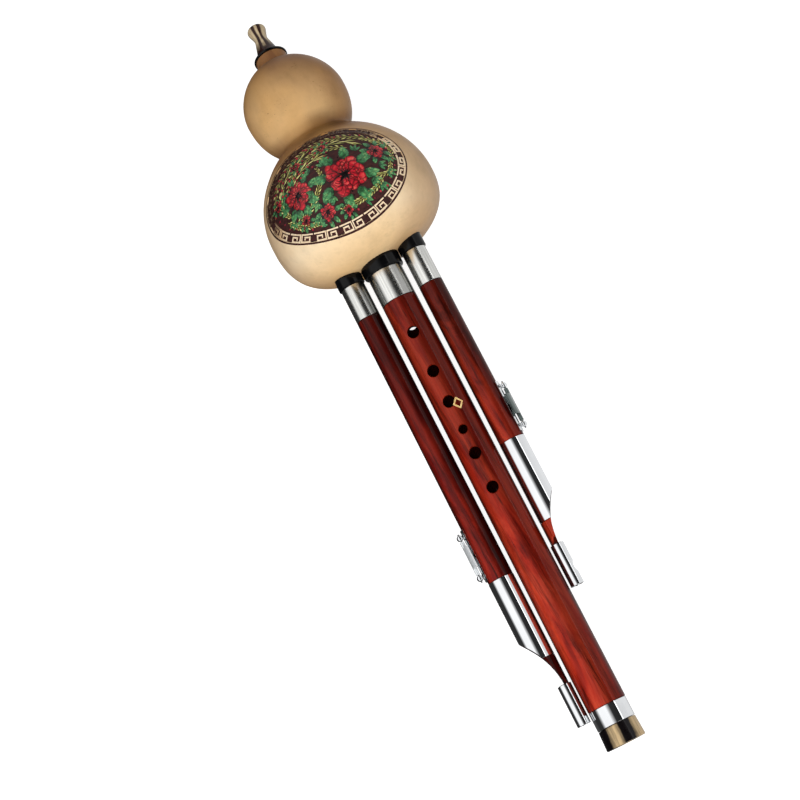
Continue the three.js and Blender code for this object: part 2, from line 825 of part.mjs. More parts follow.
function screwHoles(drone, from) {
  const radius = screwShankRadius + pinGap;
  return postPlaces(drone).map((place) => radialRod(radius, from, reach, place, screwAngle, tinySegments));
}

function hingeCentre() {
  return droneFootRadius + hingeRise;
}

function hingeLine(radius, from, to, segments) {
  return rod(radius, from, to, segments).translate(hingeCentre(), 0, 0);
}

// A short pillar with a ball on it, which the hinge rod goes through
function post(place) {
  const foot = saddleInner() + saddleThickness / 2;
  const pillar = radialRod(postRadius, foot, hingeCentre(), place, 0, smallSegments);
  const ball = new THREE.SphereGeometry(postBallRadius, smallSegments, tinySegments);
  return join(pillar, ball.translate(hingeCentre(), place, 0));
}

function keyBase(drone) {
  const foot = drone.sleeveTop + keyFootGap;
  const top = foot + keyLength;
  const inner = saddleInner();
  const section = ringSection(inner, inner + saddleThickness, -saddleHalfAngle, saddleHalfAngle);
  const saddle = drawnAlong(section, foot, top, tinySegments);
  const rodHole = hingeLine(hingeRodRadius + pinGap, foot - cutOverrun, top + cutOverrun, tinySegments);
  return cut(join(saddle, ...postPlaces(drone).map(post)), rodHole, ...screwHoles(drone, 0));
}

function keyRod(drone) {
  const [foot, top] = postPlaces(drone);
  const beyond = postBallRadius + hingeRodOverhang;
  return hingeLine(hingeRodRadius, foot - beyond, top + beyond, tinySegments);
}

function padCup(drone) {
  const back = padFlat(drone) + seatGap * 2 + padThickness;
  const rim = padRadius + seatGap;
  const cup = turned([
    [0, back],
    [rim, back],
    [rim, back - padThickness / 2],
    [rim + cupWall, back - padThickness / 2],
    [rim + cupWall, back + cupWall],
    [0, back + cupWall],
  ], smallSegments);
  return cup.rotateZ(-Math.PI / 2).rotateY(padAngle).translate(0, keyMiddle(drone), 0);
}

function keyLever(drone) {
  const middle = keyMiddle(drone);
  const centred = (section, length) => {
    return drawnAlong(section, middle - length / 2, middle + length / 2, smallSegments);
  };
  const halfTube = keyLength / 2 - postInset - postBallRadius - hingeEndGap;
  const halfBore = halfTube + cutOverrun;
  const barrel = hingeLine(hingeTubeRadius, middle - halfTube, middle + halfTube, smallSegments);
  const bore = hingeLine(hingeRodRadius + pinGap, middle - halfBore, middle + halfBore, tinySegments);
  const touchOuter = droneFootRadius + touchRise;
  const touchInner = touchOuter - touchThickness;
  const touch = centred(ringSection(touchInner, touchOuter, -touchRootAngle, touchAngle), touchLength);
  const armOuter = droneFootRadius + armRise;
  const arm = centred(ringSection(armOuter - armThickness, armOuter, -padAngle, 0), armWidth);
  const padBack = padFlat(drone) + seatGap * 2 + padThickness;
  const padRoom = radialRod(padRadius + seatGap, 0, padBack, middle, -padAngle, smallSegments);
  return cut(join(barrel, touch, arm, padCup(drone)), padRoom, bore);
}

function keyPad(drone) {
  const face = padFlat(drone) + seatGap;
  return radialRod(padRadius, face, face + padThickness, keyMiddle(drone), -padAngle, smallSegments);
}

// A bent leaf under the touch; its free end stands over the saddle
function keySpring(drone) {
  const tipRadius = droneFootRadius + touchRise - touchThickness - seatGap;
  const footRadius = droneFootRadius + springFootRise;
  const at = (radius, angle) => new THREE.Vector2(radius * Math.cos(angle), radius * Math.sin(angle));
  const shape = new THREE.Shape([
    at(footRadius - springThickness, springFootAngle),
    at(tipRadius - springThickness, springTipAngle),
    at(tipRadius, springTipAngle),
    at(footRadius, springFootAngle),
  ]);
  const middle = keyMiddle(drone);
  return drawnAlong(shape, middle - springWidth / 2, middle + springWidth / 2, 1);
}

function keyScrew(place) {
  const seat = saddleInner() + saddleThickness + pinGap;
  const foot = saddleInner() - screwShankLength;
  const screw = turned([
    [0, foot],
    [screwShankRadius, foot],
    [screwShankRadius, seat],
    [screwHeadRadius, seat],
    [screwHeadRadius, seat + screwHeadThickness],
    [0, seat + screwHeadThickness],
  ], tinySegments);
  return screw.rotateZ(-Math.PI / 2).rotateY(-screwAngle).translate(0, place, 0);
}

// Built with the key towards +x, and mirrored for the pipe on the other side
function dronePieces(group, drone) {
  const put = (name, geometry, material) => {
    piece(group, `${drone.name}_${name}`, drone.side < 0 ? mirrored(geometry) : geometry, material);
  };
  put('drone_pipe', dronePipe(drone), redWood);
  put('top_sleeve', droneTopSleeve(drone), brushedNickel);
  put('seal', droneSeal(drone), cork);
  put('reed_tube', droneReedTube(drone), reedTubeWood);
  put('reed', droneReed(drone), reedBrass);
  put('lower_sleeve', lowerSleeve(drone), chrome);
  put('tail', tail(drone), redWood);
  put('tail_tube', tailTube(drone), chrome);
  put('key_base', keyBase(drone), chrome);
  put('key_rod', keyRod(drone), springSteel);
  put('key_lever', keyLever(drone), chrome);
  put('key_pad', keyPad(drone), padLeather);
  put('key_spring', keySpring(drone), springSteel);
  postPlaces(drone).forEach((place, number) => {
    put(`key_screw_${number + 1}`, keyScrew(place), springSteel);
  });
}

function buildInstrument() {
  const instrument = new THREE.Group();
  gourdPieces(instrument);
  const main = new THREE.Group();
  main.rotation.y = mainTwist;
  mainPipePieces(main);
  instrument.add(main);
  for (const drone of [leftDrone, rightDrone]) {
    const group = new THREE.Group();
    group.position.x = drone.side * pipeSpacing;
    dronePieces(group, drone);
    instrument.add(group);
  }
  return instrument;
}

// Laid down: the origin is under the middle of the whole, on the ground
const hulusi = new THREE.Group();
const instrument = buildInstrument();
instrument.rotation.x = restTilt;
hulusi.add(instrument);
hulusi.updateMatrixWorld(true);
const bounds = new THREE.Box3().setFromObject(hulusi, true);
const middle = bounds.getCenter(new THREE.Vector3());
instrument.position.set(-middle.x, -middle.y, -bounds.min.z);

export default hulusi;
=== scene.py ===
"""Hulusi: a painted gourd with a horn mouthpiece, a rosewood melody pipe and two keyed drones.

Lengths are written in millimetres in the instrument's own frame: y from the foot of the melody
pipe to the mouthpiece, x to the right, z out of the face with the finger holes.
"""

import json
import math

import bmesh
import bpy
import numpy as np
from mathutils import Matrix, Vector


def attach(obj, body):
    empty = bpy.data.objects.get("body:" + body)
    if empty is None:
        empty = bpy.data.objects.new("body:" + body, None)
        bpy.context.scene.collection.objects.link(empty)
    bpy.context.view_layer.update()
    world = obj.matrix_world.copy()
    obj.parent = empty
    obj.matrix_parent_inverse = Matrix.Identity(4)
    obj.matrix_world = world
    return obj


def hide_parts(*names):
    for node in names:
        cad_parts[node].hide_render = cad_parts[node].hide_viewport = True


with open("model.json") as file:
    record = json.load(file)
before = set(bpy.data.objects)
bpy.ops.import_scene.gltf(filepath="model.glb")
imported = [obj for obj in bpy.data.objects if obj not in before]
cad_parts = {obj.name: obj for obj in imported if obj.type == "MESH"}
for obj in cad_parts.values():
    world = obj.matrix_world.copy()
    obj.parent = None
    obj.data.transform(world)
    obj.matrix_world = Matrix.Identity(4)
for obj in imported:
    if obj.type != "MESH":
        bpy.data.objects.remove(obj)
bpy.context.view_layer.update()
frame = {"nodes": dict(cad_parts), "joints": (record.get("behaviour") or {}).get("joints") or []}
MM = 0.001

# Sizes shared with the solid model
LOWER_R, LOWER_DEPTH, LOWER_RISE, LOWER_Y, LOWER_POWER = 48.6, 34.0, 47.0, 318.5, 2.7
UPPER_R, UPPER_DROP, UPPER_RISE, UPPER_Y, UPPER_POWER = 29.3, 32.0, 27.8, 386.6, 2.2
TOP_POWER, WAIST_POWER, NECK_POWER = 1.95, 6, 4
NECK_R, GOURD_TOP, WALL = 9.2, 419.9, 3.0
BEND_START, BEND_R, NECK_SHIFT = 350.0, 300.0, -1.9
FOOT_LEAN = math.tan(math.radians(4.5))
LOWER_CENTRE = np.array([0, LOWER_Y, 0])
SKIN_INSET = 0.2
SPACING = 19.1
MAIN_FOOT = 278.4
PIPE_FOOT_R, PIPE_FOOT_Y, PIPE_TOP_R, PIPE_TOP_Y, PIPE_BORE_R = 10.5, 21.5, 9.8, 260.0, 6.0
NECK_BORE_R = 4.85
# How far a sleeve's tenon goes up its socket, and the gap where one piece is seated on another
TENON_REACH, SEAT_GAP = 13.75, 0.25
SIDES = {
    "left": dict(side=-1, socket=278.8, wood=258.8, sleeve=103.0, sleeve_foot=56.4,
                 scoop=68.5, tongue=40.0, tube=17.4, thick=2.7),
    "right": dict(side=1, socket=281.6, wood=260.8, sleeve=165.3, sleeve_foot=118.8,
                  scoop=133.2, tongue=105.8, tube=82.2, thick=4.0),
}

# The instrument's frame, read from the joint between the gourd and the melody pipe
JOINT_PLACE = 285.0
turn = next(j for j in frame["joints"] if j["name"] == "main_turn")
along = Vector(turn["axis"])
TILT = math.atan2(along.z, along.y)
FOOT = Vector(turn["pos_m"]) - along * JOINT_PLACE * MM
INST = Matrix.Translation(FOOT) @ Matrix.Rotation(TILT, 4, "X")
MAIN = INST @ Matrix.Rotation(math.radians(-8), 4, "Y")
NECK_TILT = math.atan((GOURD_TOP - BEND_START) / BEND_R)
NECK_BACK = -((GOURD_TOP - BEND_START) ** 2) / (2 * BEND_R)
NECK = (INST @ Matrix.Translation(Vector((NECK_SHIFT, GOURD_TOP, NECK_BACK)) * MM)
        @ Matrix.Rotation(-NECK_TILT, 4, "X"))
DRONE = {name: INST @ Matrix.Translation((d["side"] * SPACING * MM, 0, 0)) for name, d in SIDES.items()}


# Materials
def rgba(value):
    """A colour, or a grey, as a shader's socket takes it."""
    return (*value, 1) if hasattr(value, "__len__") else (value, value, value, 1)


class Nodes:
    """Adds shader nodes to a tree. Its coordinates are those of the placement, or the row's own."""

    def __init__(self, tree, placement=None):
        self.tree, self.placement = tree, placement

    def put(self, node, socket, value):
        target = node.inputs[socket]
        if isinstance(value, bpy.types.NodeSocket):
            self.tree.links.new(value, target)
        else:
            target.default_value = value

    def node(self, kind, inputs=None, **settings):
        node = self.tree.nodes.new("ShaderNode" + kind)
        for key, value in settings.items():
            setattr(node, key, value)
        for socket, value in (inputs or {}).items():
            self.put(node, socket, value)
        return node

    def source(self):
        point = self.node("TexCoord").outputs["Object"]
        if self.placement is None:
            return point
        back = self.placement.inverted()
        move = {"Vector": point, "Location": back.translation, "Rotation": back.to_euler()}
        return self.node("Mapping", move).outputs[0]

    def coords(self, scale=(1, 1, 1), shift=(0, 0, 0), twist=0.0):
        """Coordinates that are shifted, stretched, and turned by so many radians per metre along y."""
        source = self.source()
        if twist:
            angle = self.math("MULTIPLY", self.axis("Y"), twist)
            spin = self.node("VectorRotate", {"Vector": source, "Angle": angle}, rotation_type="Y_AXIS")
            source = spin.outputs[0]
        return self.node("Mapping", {"Vector": source, "Scale": scale, "Location": shift}).outputs[0]

    def axis(self, which):
        parts = self.node("SeparateXYZ", {0: self.source()})
        return parts.outputs["XYZ".index(which)]

    def radius(self):
        """The distance from the y axis."""
        squares = [self.math("POWER", self.math("ABSOLUTE", self.axis(which)), 2.0) for which in "XZ"]
        return self.math("SQRT", self.math("ADD", *squares))

    def attribute(self, name):
        return self.node("Attribute", attribute_name=name).outputs["Fac"]

    def math(self, operation, first, second=0.0):
        return self.node("Math", {0: first, 1: second}, operation=operation).outputs[0]

    def span(self, value, low, high, to_low=0.0, to_high=1.0):
        return self.node("MapRange", {"Value": value, "From Min": low, "From Max": high, "To Min": to_low,
                                      "To Max": to_high}).outputs[0]

    def noise(self, scale, vector=None, detail=4.0, roughness=0.55, distortion=0.0):
        return self.node("TexNoise", {"Vector": vector or self.coords(), "Scale": scale, "Detail": detail,
                                      "Roughness": roughness, "Distortion": distortion}).outputs["Fac"]

    def sway(self, noise, reach):
        """Noise that lies evenly about zero."""
        return self.math("MULTIPLY", self.math("SUBTRACT", noise, 0.5), reach)

    def ramp(self, value, *stops):
        """A colour ramp; each stop is a place and a colour or a grey."""
        node = self.node("ValToRGB", {"Fac": value})
        elements = node.color_ramp.elements
        elements[0].position, elements[1].position = stops[0][0], stops[-1][0]
        elements[0].color, elements[1].color = rgba(stops[0][1]), rgba(stops[-1][1])
        for place, color in stops[1:-1]:
            elements.new(place).color = rgba(color)
        return node.outputs["Color"]

    def by_angle(self, angle, stops):
        """A ramp by an angle in radians, with its stops in degrees from -180 to 180."""
        share = self.span(angle, -math.pi, math.pi)
        return self.ramp(share, *((place / 360 + 0.5, value) for place, value in stops))

    def around(self, *stops, wander=0.0):
        """A ramp by the angle about the y axis, from straight out towards +x."""
        angle = self.math("ARCTAN2", self.axis("X"), self.axis("Z"))
        if wander:
            angle = self.math("ADD", angle, self.sway(self.noise(160, self.coords((1, 0.25, 1))), wander))
        return self.by_angle(angle, stops)

    def mix(self, share, first, second, mode="MIX"):
        node = self.node("Mix", {0: share}, data_type="RGBA", blend_type=mode)
        for socket, color in ((6, first), (7, second)):
            self.put(node, socket, color if isinstance(color, bpy.types.NodeSocket) else rgba(color))
        return node.outputs[2]

    def times(self, body, factor, share=1.0):
        return self.mix(share, body, factor, "MULTIPLY")

    def for_rays(self, kind, others, these):
        """One shader for rays of a kind and another for all the others."""
        ray = self.node("LightPath").outputs[f"Is {kind} Ray"]
        return self.node("MixShader", {0: ray, 1: others, 2: these}).outputs[0]


class Paint(Nodes):
    """A procedural material: nodes are added around its principled shader."""

    def __init__(self, name, placement=None, **surface):
        self.material = bpy.data.materials.new(name)
        self.material.use_nodes = True
        super().__init__(self.material.node_tree, placement)
        self.shader = self.tree.nodes["Principled BSDF"]
        for key, value in surface.items():
            self.put(self.shader, key.replace("_", " "), value)

    def color(self, value):
        self.put(self.shader, "Base Color", value)

    def rough(self, value):
        self.put(self.shader, "Roughness", value)

    def bump(self, height, strength, distance=0.0003):
        node = self.node("Bump", {"Height": height, "Strength": strength, "Distance": distance})
        self.put(self.shader, "Normal", node.outputs["Normal"])


def rgb(red, green, blue):
    """A colour as it reads in an 8-bit picture, in linear light."""
    shares = (red / 255, green / 255, blue / 255)
    return tuple(((c + 0.055) / 1.055) ** 2.4 if c > 10 / 255 else c / 12.92 for c in shares)


def gourd_paint():
    """Scraped and polished gourd skin: pale below, browner towards the neck, with painted shade at the waist,
    on the upper bulb's right shoulder and at the edges.
    """
    whole, waist, above_waist, far_shade_span = (0.284, 0.424), (0.35, 0.372), (0.354, 0.366), (-0.03, 0.032)
    paint = Paint("gourd_skin", INST, Specular_IOR_Level=0.1)
    height = paint.axis("Y")
    drift = paint.sway(paint.noise(14, detail=3), 0.016)
    place = paint.math("ADD", height, drift)
    # the dark stops at 0.5 and 0.55 of this ramp, at the waist, are painted shade
    body = paint.ramp(paint.span(place, *whole), (0.0, rgb(240, 202, 148)), (0.1, rgb(245, 220, 182)),
                      (0.3, rgb(240, 210, 168)), (0.42, rgb(222, 184, 136)), (0.5, rgb(176, 130, 84)),
                      (0.55, rgb(150, 104, 62)), (0.61, rgb(226, 184, 128)), (0.7, rgb(220, 178, 124)),
                      (0.8, rgb(206, 164, 112)), (0.9, rgb(182, 134, 92)), (0.95, rgb(184, 128, 84)),
                      (1.0, rgb(204, 146, 96)))
    # painted shade on the upper bulb's right side and round its shoulders
    across = paint.math("MULTIPLY", paint.axis("X"), 0.62)
    upward = paint.math("MULTIPLY", paint.math("SUBTRACT", height, UPPER_Y * MM), 0.78)
    far_shade = paint.math("ADD", paint.math("ADD", across, upward), drift)
    far_shade = paint.ramp(paint.span(far_shade, *far_shade_span), (0.0, 0.0), (0.42, 0.2), (0.75, 0.6), (1.0, 1.0))
    upper = paint.span(height, *above_waist)
    body = paint.mix(paint.math("MULTIPLY", far_shade, upper), body, rgb(122, 82, 52))
    # painted shade: browner towards the gourd's left and right edges
    side = paint.around((-180, 0.4), (-100, 0.6), (-75, 0.35), (-55, 0.0), (28, 0.0), (50, 0.42), (75, 0.58),
                        (100, 0.7), (180, 0.4))
    body = paint.mix(side, body, rgb(164, 116, 70))
    # painted shadow in the crease between the bulbs, deepest on the right of its middle
    crease = paint.ramp(paint.span(place, *waist), (0.0, 0.0), (0.2, 0.5), (0.42, 1.0), (0.66, 0.8),
                        (1.0, 0.0))
    crease_shadow_side = paint.around((-180, 0.3), (-60, 0.1), (-25, 0.35), (5, 0.95), (30, 0.9), (46, 0.5),
                               (66, 0.25), (90, 0.2), (180, 0.3))
    body = paint.mix(paint.math("MULTIPLY", crease, crease_shadow_side), body, rgb(80, 48, 24))
    mottle = paint.noise(150, paint.coords((1, 0.5, 1)), 5, 0.65)
    body = paint.times(body, paint.ramp(mottle, (0.32, 0.9), (0.5, 1.0), (0.7, 0.95)))
    cloud = paint.noise(42, detail=6, roughness=0.6)
    body = paint.times(body, paint.ramp(cloud, (0.3, 0.86), (0.5, 1.0), (0.72, 0.92)))
    warm = paint.noise(22, paint.coords(shift=(0.3, 0.1, 0.7)), 2)
    body = paint.mix(paint.ramp(warm, (0.52, 0.0), (0.75, 0.4)), body, rgb(226, 170, 96))
    # dark specks in patches, mostly on the upper bulb
    specks = paint.ramp(paint.noise(950, detail=2), (0.66, 0.0), (0.72, 0.8))
    patches = paint.ramp(paint.noise(60, paint.coords(shift=(0.9, 0, 0)), 2), (0.5, 0.0), (0.62, 1.0))
    patches = paint.math("MULTIPLY", patches, paint.span(height, 0.35, 0.37, 0.15, 1.0))
    paint.color(paint.mix(paint.math("MULTIPLY", specks, patches), body, rgb(96, 62, 38)))
    paint.rough(paint.ramp(paint.noise(70), (0.3, 0.32), (0.7, 0.46)))
    paint.bump(paint.noise(240, detail=3), 0.12)
    return paint.material


def horn_paint(name, placement, light, dark, bands, dark_foot=None):
    """Cream horn with dark streaks along it; bands are (angle, 0 light to 1 dark) stops."""
    paint = Paint(name, placement, Coat_Weight=0.2, Coat_Roughness=0.08, Specular_IOR_Level=0.15)
    dark_share = paint.around(*bands, wander=0.5)
    fibre = paint.ramp(paint.noise(900, paint.coords((1, 0.06, 1)), 5), (0.42, 0.0), (0.7, 0.45))
    dark_share = paint.mix(fibre, dark_share, (1, 1, 1))
    if dark_foot:
        drift = paint.sway(paint.noise(300), 0.006)
        foot = paint.span(paint.math("ADD", paint.axis("Y"), drift), *dark_foot)
        dark_share = paint.mix(foot, dark_share, (1, 1, 1))
    paint.color(paint.mix(dark_share, light, dark))
    paint.rough(paint.ramp(paint.noise(300), (0.3, 0.24), (0.7, 0.4)))
    paint.bump(paint.noise(700, paint.coords((1, 0.1, 1))), 0.08)
    return paint.material


RAW_WOOD_FADE, RAW_WOOD_SHARE = 0.0006, 0.12


def wood_paint(name, placement, dark, middle, light, seed, top, fade, right=1.0, skin=0.0064,
               flames=0.9):
    """Lacquered rosewood: dark figure and pores along the grain, painted shade on its right and left edges,
    and darker at its top.

    Flames is how strong its dark clouds are, top the share of brightness left above the two heights
    of the fade, and right how bright the painted shade leaves its right side. Within the skin's radius it is
    raw, dark wood."""
    paint = Paint(name, placement, Coat_Weight=0.2, Coat_Roughness=0.05, Specular_IOR_Level=0.05)
    figure = paint.noise(62, paint.coords((1, 0.13, 1), (seed, seed * 0.7, 0), 5), 6, 0.62, 0.9)
    body = paint.ramp(figure, (0.34, dark), (0.43, middle), (0.52, light), (0.62, middle), (0.72, dark))
    streak = paint.ramp(paint.noise(330, paint.coords((1, 0.05, 1), (0, seed, 0), 7), 6, 0.7),
                        (0.36, 0.3), (0.5, 0.95), (0.68, 1.15))
    body = paint.times(body, streak, 0.85)
    flame = paint.noise(48, paint.coords((1, 0.33, 1), (0, seed * 1.3, 0), 14), 6, 0.65, 1.6)
    body = paint.times(body, paint.ramp(flame, (0.5, 1.0), (0.6, 0.5), (0.7, 0.3)), flames)
    pore = paint.ramp(paint.noise(1300, paint.coords((1, 0.03, 1), twist=7), 3), (0.3, 0.2), (0.38, 1.0))
    body = paint.times(body, pore, 0.85)
    # painted shade by angle about the pipe: dark at its left and right edges, lightest towards the upper left
    side = paint.around((-180, 0.5), (-118, 0.34), (-94, 0.09), (-84, 0.08), (-68, 0.25), (-58, 0.7),
                        (-44, 1.0), (-12, 0.95),
                        (14, 0.45), (34, 0.36 * right), (58, 0.45 * right), (76, 0.25 * right),
                        (94, 0.08), (118, 0.34), (180, 0.5), wander=0.35)
    height = paint.ramp(paint.span(paint.axis("Y"), *fade), (0.0, 1.0), (1.0, top))
    inside = paint.span(paint.radius(), skin - RAW_WOOD_FADE, skin, RAW_WOOD_SHARE, 1.0)
    for factor in (side, height, inside):
        body = paint.times(body, factor)
    paint.color(body)
    paint.rough(paint.ramp(streak, (0.3, 0.42), (0.9, 0.3)))
    paint.bump(pore, 0.05, 0.0001)
    return paint.material


def metal_paint(name, color, rough, grain=None, strength=0.0, right=1.0, placement=None, **surface):
    """Plated or plain metal; grain is the scale of fine turning marks round the y axis, and right
    how bright the painted shade leaves its right side."""
    paint = Paint(name, placement, **{"Metallic": 1.0, **surface})
    tarnish = paint.ramp(paint.noise(60, detail=3), (0.35, 0.93), (0.65, 1.0))
    body = paint.times(color, tarnish)
    if right < 1:
        drawn = paint.ramp(paint.noise(900, paint.coords((1, 0.03, 1)), 5, 0.7), (0.35, 0.8), (0.6, 1.0))
        # painted shade that darkens the right side
        side = paint.around((-180, 0.8), (-50, 1.0), (0, 1.0), (32, right), (62, right), (84, right * 0.3),
                            (180, 0.8))
        body = paint.times(paint.times(body, drawn), side)
    paint.color(body)
    low, high = rough
    paint.rough(paint.ramp(paint.noise(240, detail=3), (0.3, low), (0.7, high)))
    if grain:
        paint.bump(paint.noise(grain, paint.coords((0.03, 1, 0.03)), 3), strength, 0.0001)
    return paint.material


def plain_paint(name, dark, light, scale, stretch=(1, 1, 1), rough=(0.5, 0.7), bump=0.2, **surface):
    paint = Paint(name, **surface)
    grain = paint.noise(scale, paint.coords(stretch), 5)
    paint.color(paint.ramp(grain, (0.3, dark), (0.7, light)))
    paint.rough(paint.ramp(grain, (0.3, rough[0]), (0.7, rough[1])))
    paint.bump(grain, bump)
    return paint.material


def relief_paint(name, deep, middle, light, gloss=0.4, veins=None):
    """Carved and painted relief: deep colour in the grooves, light towards the tips.

    Its veins, if any, are dark carved lines between small cells: their scale, width and depth."""
    paint = Paint(name, Coat_Weight=gloss, Coat_Roughness=0.25, Specular_IOR_Level=0.25)
    tone = paint.math("ADD", paint.attribute("tone"), paint.sway(paint.noise(700, detail=3), 0.6))
    body = paint.ramp(tone, (0.12, deep), (0.55, middle), (1.0, light))
    dark = paint.attribute("edge")
    if veins:
        scale, width, depth = veins
        cells = paint.node("TexVoronoi", {"Vector": paint.coords(), "Scale": scale, "Randomness": 0.9},
                           feature="DISTANCE_TO_EDGE").outputs["Distance"]
        dark = paint.math("MAXIMUM", dark, paint.span(cells, 0.02, width, depth, 0.0))
    paint.color(paint.mix(dark, body, rgb(12, 5, 6)))
    paint.rough(paint.ramp(paint.noise(500), (0.3, 0.35), (0.7, 0.55)))
    return paint.material


MATERIALS = {
    "gourd": gourd_paint(),
    "mouthpiece": horn_paint(
        "mouthpiece_horn", NECK, rgb(232, 208, 168), rgb(44, 17, 9),
        [(-180, 0.3), (-120, 0.9), (-80, 0.3), (-34, 0.05), (-25, 1.0), (-8, 1.0), (0, 0.05), (9, 0.1),
         (15, 1.0), (32, 1.0), (42, 0.15), (80, 0.3), (120, 0.9), (180, 0.3)], (0.0125, 0.0055)),
    "foot_cap": horn_paint(
        "foot_cap_horn", MAIN, rgb(206, 178, 134), rgb(10, 6, 7),
        [(-180, 0.3), (-120, 0.6), (-90, 1.0), (-34, 1.0), (-22, 0.4), (-14, 0.1), (-6, 0.1), (6, 1.0),
         (40, 1.0), (48, 0.2), (56, 0.05), (98, 0.0), (130, 0.6), (180, 0.3)]),
    "lacquer": plain_paint("black_lacquer", rgb(5, 5, 6), rgb(11, 11, 13), 90, rough=(0.1, 0.2), bump=0.03,
                           Coat_Weight=0.15, Coat_Roughness=0.05, Specular_IOR_Level=0.1),
    "main_wood": wood_paint("main_rosewood", MAIN, rgb(98, 14, 9), rgb(162, 37, 20), rgb(188, 60, 36), 0.0,
                            0.6, (0.12, 0.23), skin=0.0095, flames=0.5),
    # right=0.4: more painted shade on the left drone's right side, beside the melody pipe
    "left_wood": wood_paint("left_rosewood", DRONE["left"], rgb(66, 6, 6), rgb(116, 20, 14),
                            rgb(148, 36, 22), 3.1, 0.42, (0.12, 0.24), right=0.4),
    "right_wood": wood_paint("right_rosewood", DRONE["right"], rgb(92, 14, 8), rgb(148, 38, 22),
                             rgb(172, 52, 30), 7.7, 0.38, (0.17, 0.25)),
    # the three nickels differ only in how much painted shade darkens their right sides (0.55, 0.3, 0.9)
    "main_nickel": metal_paint("main_nickel", rgb(240, 240, 236), (0.2, 0.26), 2600, 0.01, 0.55, MAIN),
    "left_nickel": metal_paint("left_nickel", rgb(236, 236, 232), (0.2, 0.26), 2600, 0.01, 0.3,
                               DRONE["left"]),
    "right_nickel": metal_paint("right_nickel", rgb(240, 240, 236), (0.2, 0.26), 2600, 0.01, 0.9,
                                DRONE["right"]),
    "pale_plate": metal_paint("pale_plate", rgb(236, 240, 242), (0.14, 0.22), Metallic=0.3),
    "dark_plate": metal_paint("dark_plate", rgb(104, 114, 112), (0.08, 0.14)),
    "chrome": metal_paint("mirror_chrome", rgb(240, 242, 244), (0.03, 0.07)),
    "steel": metal_paint("spring_steel", rgb(176, 178, 180), (0.2, 0.32), 1800, 0.1),
    "brass": metal_paint("reed_brass", rgb(206, 160, 76), (0.22, 0.36), 1500, 0.1),
    "gilt": plain_paint("gilt", rgb(214, 166, 92), rgb(244, 216, 150), 900, rough=(0.3, 0.45), bump=0.1,
                        Metallic=0.2),
    "cork": plain_paint("cork", rgb(150, 104, 62), rgb(204, 158, 106), 500, rough=(0.75, 0.95)),
    "tube_wood": plain_paint("reed_tube_wood", rgb(148, 98, 56), rgb(196, 144, 92), 300, (1, 0.08, 1)),
    "leather": plain_paint("pad_leather", rgb(206, 194, 172), rgb(238, 230, 214), 900, rough=(0.7, 0.9)),
    "ground": plain_paint("carved_ground", rgb(34, 16, 16), rgb(72, 36, 34), 650, (0.25, 1, 1),
                          rough=(0.45, 0.65), bump=0.5, Specular_IOR_Level=0.25),
    "meander": relief_paint("meander_cream", rgb(52, 28, 22), rgb(216, 182, 140), rgb(252, 232, 200), 0.3),
    "petal": relief_paint("petal_red", rgb(104, 8, 20), rgb(200, 26, 42), rgb(244, 112, 96),
                          veins=(230, 0.1, 0.75)),
    "leaf": relief_paint("leaf_green", rgb(18, 52, 32), rgb(76, 150, 90), rgb(184, 222, 132),
                         veins=(320, 0.1, 0.6)),
    "frond": relief_paint("frond_olive", rgb(62, 68, 32), rgb(170, 166, 84), rgb(250, 242, 156)),
    "berry": relief_paint("berry_crimson", rgb(84, 12, 28), rgb(150, 24, 44), rgb(206, 66, 72)),
}


# Shapes
# Edges that bend by more than this many degrees stay sharp
CREASE = 32


def new_object(name, data):
    made = bpy.data.objects.new(name, data)
    bpy.context.scene.collection.objects.link(made)
    return made


def bare_mesh(name, verts, faces):
    mesh = bpy.data.meshes.new(name)
    mesh.from_pydata((np.asarray(verts, float) * MM).tolist(), [], faces)
    return mesh


def mesh_of(name, verts, faces):
    mesh = bare_mesh(name, verts, faces)
    work = bmesh.new()
    work.from_mesh(mesh)
    bmesh.ops.remove_doubles(work, verts=work.verts, dist=2e-7)
    bmesh.ops.dissolve_degenerate(work, edges=work.edges, dist=1e-7)
    work.to_mesh(mesh)
    work.free()
    return mesh


def shade(mesh, crease):
    mesh.polygons.foreach_set("use_smooth", np.ones(len(mesh.polygons), bool))
    mesh.set_sharp_from_angle(angle=math.radians(crease))


def add(name, shape, material, body, place=INST, replaces=(), cutters=(), crease=CREASE):
    """Makes a piece of the object from (verts, faces) or a mesh, cuts the cutters out of it and places it.

    The mesh itself is moved, so that its box is as tight as it can be."""
    mesh = shape if isinstance(shape, bpy.types.Mesh) else mesh_of(name, *shape)
    piece = new_object(name, mesh)
    for number, cutter in enumerate(cutters):
        tool_name = f"{name}_cutter_{number}"
        modifier = piece.modifiers.new(f"cut_{number}", "BOOLEAN")
        modifier.operation, modifier.solver = "DIFFERENCE", "EXACT"
        modifier.object = new_object(tool_name, mesh_of(tool_name, *cutter))
    if cutters:
        bpy.context.view_layer.update()
        carved = bpy.data.meshes.new_from_object(piece.evaluated_get(bpy.context.evaluated_depsgraph_get()))
        for modifier in list(piece.modifiers):
            bpy.data.objects.remove(modifier.object)
        piece.modifiers.clear()
        piece.data = carved
    shade(piece.data, crease)
    piece.data.materials.clear()
    piece.data.materials.append(MATERIALS[material])
    piece.data.transform(place)
    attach(piece, body)
    if replaces:
        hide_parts(*replaces)
    return piece


